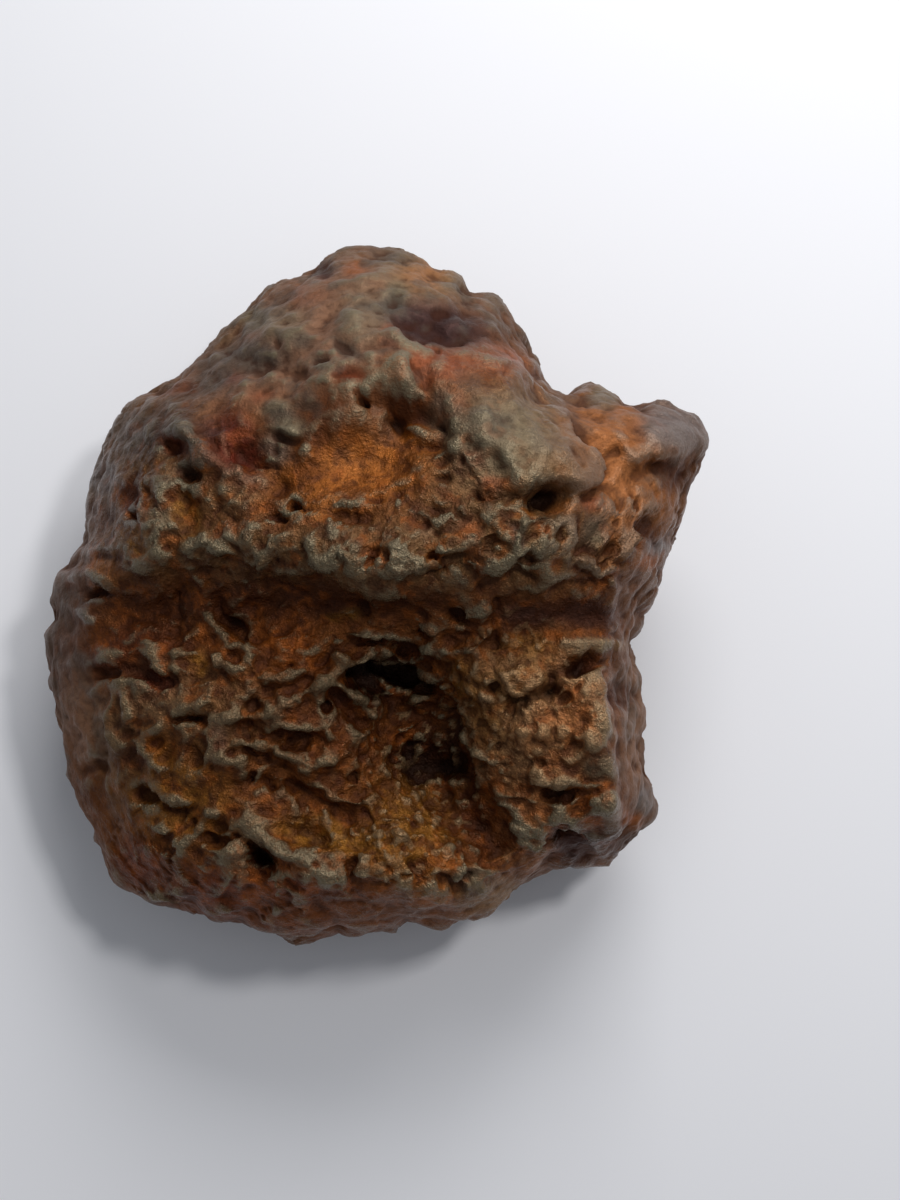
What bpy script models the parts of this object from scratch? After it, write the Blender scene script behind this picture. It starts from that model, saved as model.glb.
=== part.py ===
"""An iron meteorite, about 84 by 92 by 43 mm: one natural lump of rusted iron, resting on a small flat spot.

The lump has a broad upper slope with an orange pocket in it, a crest that runs across from left to right,
a wrinkled basin in front of the crest with a deep black pit, and a lower lobe behind a notch on the right.
It grew as one piece, so it is one solid. +Z is up, +Y runs away from the front, and the origin is the
middle of the flat spot that it stands on, under its centre of mass.

The upper side is drawn in plan, as an eye above the stone and a little in front of it sees it: u runs to the
right and v away from the front, in millimetres. Heights in the tables are above the ground.
"""
import math

import bmesh
import bpy
import numpy as np
from mathutils import Vector, noise

MM = 0.001

# The eye over the plan
EYE_DISTANCE = 220.0
EYE_TILT = math.radians(12.0)
EYE_LEVEL = 20.0
EYE_AIM = (8.75, -0.6)

# Where the upper face's grid is centred in plan, and the middle of the flat spot in the plan's level frame
PLAN_CENTRE = (0.0, -5.0)
FLAT_SPOT = (-0.9, 0.8)

# Driving sizes of the solid
SHOULDER_START = 0.66
UNDERSIDE_FULLNESS = 0.80
UNDERSIDE_STEEPNESS = 1.15
FLAT_SPOT_CUT = 0.24
FLAT_SPOT_CALM = 16.0
OUTLINE_SMOOTHING = math.radians(6.0)
WIGGLE_DEPTH = 4.0

# The grid that the lump is made from, the share of it above the outline, the triangles that are kept, and the
# least width of a ridge's side, or of half a knob, that they still show
GRID = 92
OUTLINE_ANGLE = math.radians(112.0)
TRIANGLES = 9400
LEAST_WIDTH = 0.9

# The relief is drawn in plan, so it fades away where the surface is steep: how squarely a place faces the eye
# where the relief is gone, and where it is whole
RELIEF_GONE = 0.30
RELIEF_WHOLE = 0.75

# How far inside the outline the shoulder starts, by the direction from the plan's centre in degrees round
SHOULDER_WIDTHS = [(-180, 7.0), (-70, 6.5), (-52, 3.2), (-6, 3.2), (6, 6.0), (180, 7.0)]

# The outline in plan, clockwise from the top
OUTLINE = [
    (-2.7, 43.6), (-0.6, 43.2), (2.2, 43.4), (4.0, 43.0), (6.2, 41.3), (9.4, 40.3), (10.4, 39.4),
    (10.4, 38.4),
    (11.7, 37.3), (13.7, 37.6), (14.9, 37.1), (15.5, 35.6), (17.9, 32.5), (18.5, 30.4), (19.7, 29.1),
    (19.6, 28.1),
    (20.1, 26.9), (21.2, 25.6), (22.5, 24.7), (23.9, 24.9), (24.8, 25.9), (26.0, 26.4), (28.7, 25.9),
    (30.0, 25.1),
    (31.0, 24.1), (33.1, 24.0), (34.7, 24.4), (36.5, 24.0), (39.4, 22.5), (40.1, 20.9), (41.1, 19.3),
    (40.6, 18.3),
    (39.7, 17.4), (39.6, 15.6), (38.7, 13.9), (37.2, 10.0), (36.9, 8.1), (37.0, 6.6), (35.7, 3.8),
    (34.5, 0.4),
    (33.7, -1.3), (32.6, -2.1), (32.5, -3.4), (31.0, -5.9), (31.8, -7.1), (32.1, -8.8), (32.9, -13.1),
    (32.7, -17.5),
    (33.6, -22.5), (34.4, -25.6), (34.0, -27.5), (31.9, -30.4), (30.0, -33.1), (28.7, -33.9), (27.1, -33.3),
    (23.5, -33.7), (21.0, -34.1), (18.7, -35.6), (16.9, -36.5), (14.6, -39.1), (13.4, -40.1), (11.2, -40.3),
    (7.5, -41.4), (4.4, -40.3), (2.9, -40.6), (1.9, -41.9), (-1.9, -42.9), (-5.2, -41.5), (-6.9, -42.3),
    (-10.9, -43.7), (-14.0, -42.5), (-17.5, -41.1), (-20.0, -41.1), (-23.1, -39.6), (-25.0, -39.0),
    (-29.4, -38.4),
    (-32.9, -35.5), (-35.3, -31.0), (-37.7, -25.6), (-39.4, -20.9), (-39.8, -16.3), (-41.3, -10.6),
    (-41.4, -8.8),
    (-41.1, -6.9), (-41.5, -5.0), (-40.8, -2.9), (-41.5, -0.9), (-40.0, 2.5), (-38.5, 3.8), (-37.3, 6.9),
    (-37.1, 8.8), (-36.3, 10.6), (-35.2, 15.6), (-34.0, 19.4), (-32.4, 22.5), (-31.2, 24.0), (-29.7, 25.3),
    (-27.7, 25.9), (-24.6, 27.6), (-24.0, 28.6), (-20.6, 32.0), (-16.9, 35.6), (-13.7, 38.6), (-12.1, 39.4),
    (-10.7, 39.2), (-9.4, 40.6), (-5.6, 43.1),
]

# Height of the outline's edge, at places round the plan
EDGE_HEIGHTS = [
    (0, 43, 15), (15, 36, 16), (22, 25, 17), (30, 25, 19), (41, 19, 22), (37, 8, 18), (32, -6, 15),
    (33, -20, 12),
    (34, -26, 11), (28, -34, 11), (17, -37, 13), (6, -41, 12), (-11, -43, 11), (-25, -39, 12), (-36, -29, 13),
    (-41, -9, 14), (-38, 5, 15), (-34, 19, 15), (-24, 28, 14), (-12, 39, 14),
]

# Height of the upper face before its shoulder is rounded off, at places in plan
FACE_HEIGHTS = [
    # the far slope
    (-3, 41, 26), (6, 39, 27), (-12, 35, 27), (14, 34, 30), (-2, 35, 31), (10, 29, 35), (-8, 30, 34),
    (-20, 28, 29),
    (0, 28, 37), (17, 27, 36),
    # the domed upper mass and its left shoulder
    (8, 23, 39.5), (16, 20, 41), (22, 18, 40), (12, 13, 40.5), (26, 15, 38), (0, 14, 38), (-8, 20, 37),
    (-16, 19, 34),
    (-14, 12, 36), (-24, 20, 32), (-30, 20, 28), (-24, 12, 33), (-32, 12, 28), (-6, 8, 39),
    # the crest
    (-39, 1, 23), (-30, 5, 30), (-22, 6, 34), (-14, 6, 36.5), (-7, 4, 38.5), (0, 2.5, 40), (8, 4, 41),
    (15, 4, 41),
    (22, 3, 39), (29, 1, 35), (33, 2, 31),
    # the lobe behind the notch
    (25, 24, 30), (31, 21, 32), (37, 20, 32), (30, 13, 34), (35, 12, 31), (27, 8, 37), (33, 6, 33),
    # the foot of the crest, in shadow
    (-38, -5, 22), (-31, -1, 25), (-23, -1, 28), (-14, -1, 30), (-6, -2, 31), (2, -3, 33), (10, -3, 34),
    (17, -2, 34),
    (24, -2, 33), (30, -3, 29),
    # the wrinkled left of the basin
    (-36, -14, 22), (-30, -10, 26), (-22, -9, 29), (-13, -8, 31), (-5, -8, 32), (-28, -18, 26),
    (-20, -17, 29),
    (-10, -16, 30), (-36, -24, 19), (-28, -27, 24), (-20, -26, 27), (-12, -24, 28.5), (-4, -20, 28),
    # the deep pit and its surroundings
    (3, -11, 26), (6, -20, 23), (10, -13, 29), (14, -8, 33), (18, -13, 32), (14, -20, 28), (22, -8, 32),
    (25, -15, 32),
    (20, -22, 30), (26, -22, 30), (28, -11, 31), (28.4, -16, 31), (28.8, -21, 30.5), (28.6, -27, 29),
    # the front of the basin and its rim
    (-8, -29, 27), (0, -27, 27), (6, -30, 27), (12, -26, 25), (14, -30, 25), (19, -28, 27), (26, -28, 28),
    (12, -36, 27), (4, -36.5, 29), (-4, -35, 29), (-12, -34, 28), (-20, -34, 26), (-28, -34, 21),
    (-10, -40, 23),
    (2, -40, 23), (21, -32, 24),
    # the ledge outside the right rim
    (31.2, -11, 22), (31.3, -16, 22), (31.8, -21, 21), (32.2, -26, 21), (31, -30, 20), (28, -33, 19),
    (24, -33, 20),
]

# Ridges of the upper side, and grooves as ridges of negative height: the height, the width of the side that is
# to the left of the line's run and of the one to its right, and the line in plan
RIDGES = [
    # the far slope
    (-0.7, 0.9, 0.9, [(-20, 30.5), (-17, 30), (-14, 29.6), (-12, 28.4)]),
    (-0.6, 0.5, 0.5, [(-5.5, 31.6), (-4, 30.8), (-2.5, 29.7)]),
    (-0.6, 0.5, 0.5, [(-10.7, 27.8), (-10.7, 26.3)]),
    (-0.6, 0.4, 0.4, [(4.2, 28.1), (6, 26.8)]),
    (0.7, 0.8, 1.2, [(1.8, 32.6), (2.3, 30.8), (3, 29.2)]),
    (0.6, 0.8, 0.8, [(8.2, 37.2), (9, 36), (9.4, 34.8)]),
    # the orange pocket: its lip, its slot and the lines on its floor
    (0.5, 3.0, 0.9, [(-1.3, 26.6), (1.5, 26.6), (3.8, 26.2), (5.8, 25.3), (7.7, 23.7), (8.9, 21.4),
    (9.9, 19.2)]),
    (-1.6, 0.9, 1.2, [(-0.6, 25.2), (1.6, 25.2), (3.8, 24.7), (5.4, 23.8), (6.8, 22.2), (7.6, 20.2)]),
    (-1.2, 0.6, 0.6, [(1.4, 24), (1.3, 20.8)]),
    (-0.8, 0.5, 0.5, [(0.3, 19.5), (3, 19.4), (6.8, 19.2)]),
    (0.5, 0.35, 0.35, [(-9.5, 9.6), (-8, 9.8), (-6.2, 9.4)]),
    (-0.6, 0.4, 0.4, [(-9.5, 10.3), (-6, 10), (-4, 9.6), (-2, 9.8)]),
    # left of the pocket
    (1.0, 0.8, 0.6, [(-25.4, 22), (-24.4, 20.2), (-23.2, 18.5), (-22.2, 16.8)]),
    (0.8, 0.5, 0.4, [(-21.6, 17.3), (-20.6, 16), (-19.2, 14.5)]),
    (0.8, 0.6, 0.5, [(-19.4, 19), (-18.8, 17.2), (-17.6, 15.2)]),
    (0.6, 0.6, 0.5, [(-33, 15.4), (-31.7, 14.5)]),
    (0.6, 0.5, 0.6, [(-29, 12.2), (-28.9, 10), (-28.8, 7.6)]),
    (0.8, 0.7, 0.6, [(-27.3, 13.6), (-27, 10.4), (-27.4, 7)]),
    (0.5, 0.5, 0.4, [(-26, 10.4), (-25.9, 8)]),
    (0.6, 0.7, 0.6, [(-36.8, 5.6), (-34.5, 6.2), (-32.6, 6)]),
    # the right upper mass: its overhanging lip and the line that leads to its pit
    (1.5, 0.6, 3.0, [(21.6, 25.2), (22.6, 23.2), (23.6, 21.2), (24.5, 19.2), (26.2, 17.8), (27.5, 15.8),
    (27.2, 14),
                     (25.4, 12.9)]),
    (-1.0, 1.2, 0.6, [(22.9, 25), (23.8, 23.3), (24.9, 21.2), (25.7, 19.8), (27.4, 18.4), (28.8, 16),
    (28.4, 13.6)]),
    (-1.2, 0.6, 0.6, [(21.8, 13.4), (23.6, 12.9), (25.8, 12.8)]),
    (-1.0, 0.45, 0.45, [(12.7, 12.4), (15.5, 12.7), (17.5, 12.7), (19.4, 13)]),
    (0.9, 0.6, 0.6, [(17.9, 8.7), (17.2, 7), (16.4, 4.6)]),
    (0.5, 0.35, 0.35, [(19.8, 9.8), (21, 9.7), (21.7, 8.6)]),
    # the lobe behind the notch
    (-1.7, 1.2, 1.2, [(34.2, 15.9), (36.2, 15.9), (38.2, 14.5)]),
    (0.4, 1.5, 0.8, [(33, 17.6), (35.5, 18), (38, 18.9), (40.3, 19.8)]),
    (-0.7, 0.5, 0.5, [(25.4, 5.6), (26.4, 6.3), (27.4, 6.7)]),
    (-0.9, 0.5, 0.5, [(27.2, 6), (28.2, 5.4), (29.2, 6)]),
    (-0.8, 0.5, 0.5, [(28.5, 3.8), (30, 4.3), (31, 3.8)]),
    (-0.6, 0.4, 0.4, [(32.7, 6), (32.8, 5)]),
    (-1.0, 0.7, 0.7, [(24.5, 3.4), (25.6, 2.2), (26.8, 1.4)]),
    (-0.6, 0.5, 0.5, [(28.8, 1), (29.3, 2), (30, 2.4)]),
    (0.6, 0.5, 0.6, [(32, 9.6), (31.4, 8), (31.6, 6.5)]),
    # the crest
    (0.9, 1.0, 0.6, [(-21.5, 6.3), (-20, 5.9), (-17.5, 5.2), (-15, 4.6)]),
    (0.8, 0.8, 0.6, [(-31, 3.8), (-28.8, 4.7), (-26, 5.6), (-23.5, 5.8)]),
    (0.6, 0.6, 0.6, [(-40, 1.4), (-38.4, 2.6), (-36, 2.9), (-34, 1.9)]),
    (0.6, 0.6, 0.5, [(-10, 2.9), (-8.4, 3.2), (-7, 3.4)]),
    (0.7, 0.8, 0.5, [(-7.2, 4.4), (-5, 4.9), (-3.4, 5.3)]),
    (0.8, 1.2, 0.5, [(-4.2, 1.7), (-2.2, 1.2), (-0.4, 0.5), (1, 0.2)]),
    (0.8, 0.9, 0.6, [(1.4, 6), (2.1, 4), (3, 3), (4.2, 3.2)]),
    (-0.9, 0.5, 0.5, [(4.8, 2.6), (6.4, 2.2), (8, 2.4)]),
    (-0.6, 0.5, 0.5, [(8.2, 3.6), (9.6, 4.4), (10.6, 4.9)]),
    (-0.9, 0.5, 0.5, [(12.8, 1.4), (14.5, 1.5), (16, 1.8), (17.4, 2.7), (19.2, 2.4)]),
    (-0.8, 0.5, 0.5, [(22.3, 0.7), (24, 1), (25.6, 0.6), (29, 0.5)]),
    # the left of the basin
    (-1.5, 0.8, 0.7, [(-25.6, -0.8), (-25.3, -2.2), (-25.4, -3.6)]),
    (-1.7, 0.8, 0.7, [(-20.2, -1.8), (-18.6, -3), (-17.1, -4.6)]),
    (0.6, 0.4, 0.4, [(-37.4, -1.6), (-36.4, -2.3), (-35.4, -2.9)]),
    (0.6, 0.45, 0.45, [(-21, -2.8), (-20.3, -4.6), (-19, -5.6), (-17.6, -5.7)]),
    (0.5, 0.4, 0.4, [(-32, -5.9), (-30.6, -5.7), (-29, -6)]),
    (0.9, 0.6, 0.45, [(-35.2, -8.2), (-31.7, -7.7), (-30, -7.2), (-28.5, -8.4), (-27, -9.5), (-25.8, -9.6)]),
    (0.5, 0.4, 0.4, [(-28, -7), (-26.5, -7.6), (-25.4, -7.4), (-23.8, -7.1)]),
    (0.7, 0.5, 0.5, [(-32.6, -10.4), (-31.3, -10.7), (-30.2, -11.3), (-29.4, -12.3)]),
    (-0.9, 0.8, 0.8, [(-35, -9.6), (-32.5, -9.4), (-29.5, -9.6), (-26.5, -10.4)]),
    (0.8, 0.6, 0.5, [(-32, -11), (-31.6, -13.4), (-31, -15.9)]),
    (0.7, 0.5, 0.5, [(-32.9, -17.2), (-32.2, -18), (-31.8, -18.8)]),
    (0.6, 0.4, 0.4, [(-30.1, -18.2), (-29.4, -19.6), (-28.3, -20.5), (-27.1, -21.6)]),
    (0.5, 0.35, 0.35, [(-29.5, -18), (-28.2, -17.2), (-27.4, -16.7)]),
    (0.8, 0.7, 0.5, [(-25.3, -14.9), (-23.8, -13.9), (-22.4, -13.2), (-21, -13)]),
    (0.6, 0.4, 0.4, [(-26.3, -15.9), (-25.4, -16.6), (-23.8, -16.9)]),
    (-0.7, 0.5, 0.5, [(-25.5, -15.6), (-23.5, -15.5), (-21.8, -15.8)]),
    # the middle of the basin
    (0.8, 0.5, 0.45, [(-21, -8.2), (-19.8, -9.3), (-18.3, -9.9), (-17.1, -9.7)]),
    (0.8, 0.4, 0.4, [(-16.5, -5.5), (-16.8, -6.3), (-16.4, -7.2), (-15.6, -7.8)]),
    (0.5, 0.35, 0.35, [(-16, -6.2), (-15, -6.3), (-14.6, -7.1), (-15.1, -8.2)]),
    (0.9, 0.6, 0.4, [(-16.3, -8.9), (-15.2, -9.6), (-14.2, -10), (-12.5, -10), (-11, -9.9), (-9.6, -9.4)]),
    (-1.0, 0.5, 0.5, [(-13.4, -8.4), (-12, -8.7), (-10.9, -8.7)]),
    (-0.9, 0.8, 0.8, [(-14.5, -10.9), (-12, -11), (-9, -10.4)]),
    (0.9, 0.6, 0.4, [(-6.5, -4.7), (-4, -5), (0, -5.2), (2.5, -5.8), (5, -6.5), (7.5, -6.9), (8.7, -7.4)]),
    (-1.5, 0.7, 0.8, [(-6, -6), (-3, -6.3), (0, -6.3), (3, -6.7)]),
    (0.5, 0.4, 0.4, [(-6, -7.7), (-4, -7.9), (-2.2, -9), (-1.4, -8.2), (0, -7.2)]),
    (0.6, 0.4, 0.4, [(0.4, -7.5), (1.8, -8.4), (2.8, -9.1), (4, -8.9)]),
    (0.6, 0.4, 0.4, [(-6.9, -10.3), (-5.6, -11), (-4.6, -11.9), (-3.6, -12.8)]),
    (-0.9, 0.6, 0.6, [(-5.6, -12.2), (-4.4, -13.6), (-3.2, -15), (-1.8, -16.2)]),
    (0.6, 0.4, 0.4, [(-21.9, -17.5), (-21.3, -16.2), (-20.6, -15.3), (-19.4, -14.7)]),
    (0.9, 0.6, 0.45, [(-18.8, -14.9), (-17, -15.3), (-15.5, -15.4), (-14, -14.9), (-12.6, -14.2),
    (-11.5, -13.2),
                      (-10, -12.3), (-8.3, -11.4), (-7.2, -11.5)]),
    (0.8, 0.5, 0.4, [(-14.7, -15.9), (-13, -16.6), (-11.5, -16.7), (-9.5, -16.8), (-7.7, -17.1)]),
    (-1.4, 0.8, 0.9, [(-16.5, -16.3), (-14, -17.3), (-10.5, -17.9), (-7, -18.2)]),
    (0.7, 0.45, 0.4, [(-6.2, -17.5), (-5, -18.4), (-3.8, -18.3), (-2, -17.3), (-0.9, -17.2)]),
    (0.7, 0.9, 0.9, [(-19.7, -16), (-20.1, -18), (-20.5, -19.8)]),
    (0.6, 0.5, 0.5, [(-20.3, -19.8), (-19.6, -20.8), (-18.4, -21), (-17.4, -20.2)]),
    (0.6, 0.5, 0.4, [(-17.9, -18.2), (-16.3, -18.6), (-14.8, -19.1)]),
    (-1.2, 0.8, 0.8, [(-16.6, -19.6), (-14.6, -20.6), (-12.2, -22)]),
    (0.8, 0.8, 0.6, [(-12.6, -19.8), (-10.2, -20.8), (-8, -21.5), (-6.4, -20.9)]),
    # the front of the basin
    (-1.7, 1.0, 1.0, [(-13, -22.2), (-9.6, -24.2), (-6.8, -25.9), (-4.2, -27.1), (-1.8, -27.4)]),
    (0.9, 0.5, 0.4, [(-7.9, -24.1), (-6, -25.3), (-4.4, -26.2), (-3, -26.7), (-1.8, -26.1)]),
    (1.0, 0.7, 0.6, [(-14.2, -30.4), (-13, -31.5), (-12, -32.9), (-10.9, -33.8), (-9.4, -34.5),
    (-7.7, -34.3)]),
    (0.7, 0.5, 0.5, [(-7.1, -34.4), (-5.6, -35.4), (-4.6, -35.9)]),
    (0.5, 0.5, 0.4, [(-11, -32.9), (-9, -33.3), (-7.6, -32.2)]),
    (-1.0, 0.4, 0.4, [(-3.6, -32.9), (-3.9, -34.4), (-3.8, -35.8)]),
    (-1.2, 0.6, 0.6, [(-27.3, -26.2), (-25.2, -26.7), (-23.2, -26.6)]),
    (0.6, 0.4, 0.4, [(-26.9, -25.1), (-25.6, -25.6), (-24, -25.8)]),
    (-0.8, 0.5, 0.5, [(-21.2, -30.6), (-19.4, -30.7), (-17.6, -30.2)]),
    (0.7, 0.6, 0.5, [(-21.2, -32), (-20, -32.4), (-18.7, -32)]),
    (-0.8, 0.6, 0.5, [(-17.4, -23.8), (-15, -24), (-13.2, -24.5)]),
    (0.6, 0.5, 0.5, [(-28.2, -37.6), (-26.8, -37), (-25.2, -36.6)]),
    (0.6, 0.5, 0.5, [(-21.5, -38.9), (-19, -39), (-17, -38.9)]),
    (0.6, 0.5, 0.5, [(-1.6, -27), (-0.6, -28.8), (0, -30.2)]),
    (0.5, 0.5, 0.4, [(2.3, -30.3), (2, -31.8), (2.3, -33.3)]),
    (0.5, 0.5, 0.5, [(3, -30.6), (4.9, -30.3)]),
    (-1.5, 0.5, 0.5, [(4.6, -33), (5, -34.4), (4.7, -35.9)]),
    (0.8, 0.5, 0.5, [(12.7, -34.9), (14.6, -34.5)]),
    (-1.0, 0.5, 0.4, [(8.4, -35.9), (9.5, -36.5)]),
    (0.7, 0.9, 0.6, [(4.6, -37.9), (7, -38.4), (10.2, -38.3)]),
    (-0.8, 0.6, 0.6, [(-7.4, -39.6), (-6.4, -40.8), (-5.6, -42.2)]),
    (0.6, 0.6, 0.6, [(-9.4, -40), (-8.2, -40.8), (-7.6, -42)]),
    # the right of the basin
    (0.5, 0.4, 0.4, [(4.1, -2.3), (4.9, -3.1), (6.2, -3.7)]),
    (0.6, 0.5, 0.5, [(6.5, -3.2), (7.3, -4.1), (7, -5.2), (6.2, -6.2)]),
    (0.7, 0.5, 0.5, [(10.7, -2.7), (12, -2.3), (13, -1.2)]),
    (0.9, 0.6, 0.6, [(13.2, -0.8), (13.8, -3), (13.8, -5), (12.5, -5.9), (11, -7), (10, -8.3)]),
    (-0.9, 0.35, 0.35, [(14.4, -0.8), (14.5, -3.5), (14.2, -6)]),
    (0.6, 0.5, 0.5, [(5, -10.7), (6.4, -11.2)]),
    (0.9, 0.8, 0.6, [(22.8, -6.3), (25, -6.6), (27, -6.5), (28.6, -6.1), (30, -6.2)]),
    (0.7, 0.5, 0.6, [(28.9, -4), (30.5, -3.3), (32.4, -2.7)]),
    (-1.0, 0.5, 0.5, [(14.4, -11.9), (16, -12.9), (18, -12.9), (20.8, -12)]),
    (-0.8, 0.4, 0.4, [(21.3, -9.8), (21.2, -12.2)]),
    (0.6, 0.5, 0.5, [(10.4, -18.8), (12, -19.8), (13.4, -20.6)]),
    (0.7, 0.8, 0.8, [(27.4, -15.3), (28, -16.6), (28.7, -17.8)]),
    (-2.2, 1.5, 1.5, [(8.4, -24.2), (10.2, -26.2), (12, -27.8), (13.4, -30), (14.6, -31.4)]),
    (0.5, 0.5, 0.45, [(15, -24.6), (17.4, -25.2), (19.6, -26.3)]),
    (0.5, 0.5, 0.45, [(14.8, -26.4), (16.8, -27), (18.6, -28.2)]),
    (0.5, 0.5, 0.45, [(16.9, -28.8), (18.8, -29.6), (20.8, -29)]),
    (0.5, 0.5, 0.45, [(17.4, -31), (19.3, -31.8), (21.4, -31.2)]),
    # the right rim
    (1.2, 0.6, 1.1, [(28.2, -10.6), (28, -12), (28.5, -14), (29, -16), (29.6, -18), (29.9, -20.5),
    (29.3, -23),
                     (28.8, -25)]),
    (1.0, 0.6, 0.9, [(28.7, -25.4), (29.5, -27.4), (29.5, -29.2), (29.9, -31)]),
    (-0.9, 0.6, 0.6, [(23.8, -24.6), (26, -25), (28.6, -24.3)]),
    (0.6, 0.6, 0.5, [(19.2, -23.6), (21, -23), (23.4, -23.4), (24.8, -24)]),
    (0.6, 0.5, 0.4, [(22.1, -27), (23.8, -27.6)]),
    (0.6, 0.5, 0.4, [(21.8, -28), (23.4, -28.4), (24.8, -29)]),
    (0.6, 0.5, 0.5, [(23.6, -29.7), (25.2, -29.4), (26.4, -30.2), (26.8, -31.6)]),
]

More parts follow.
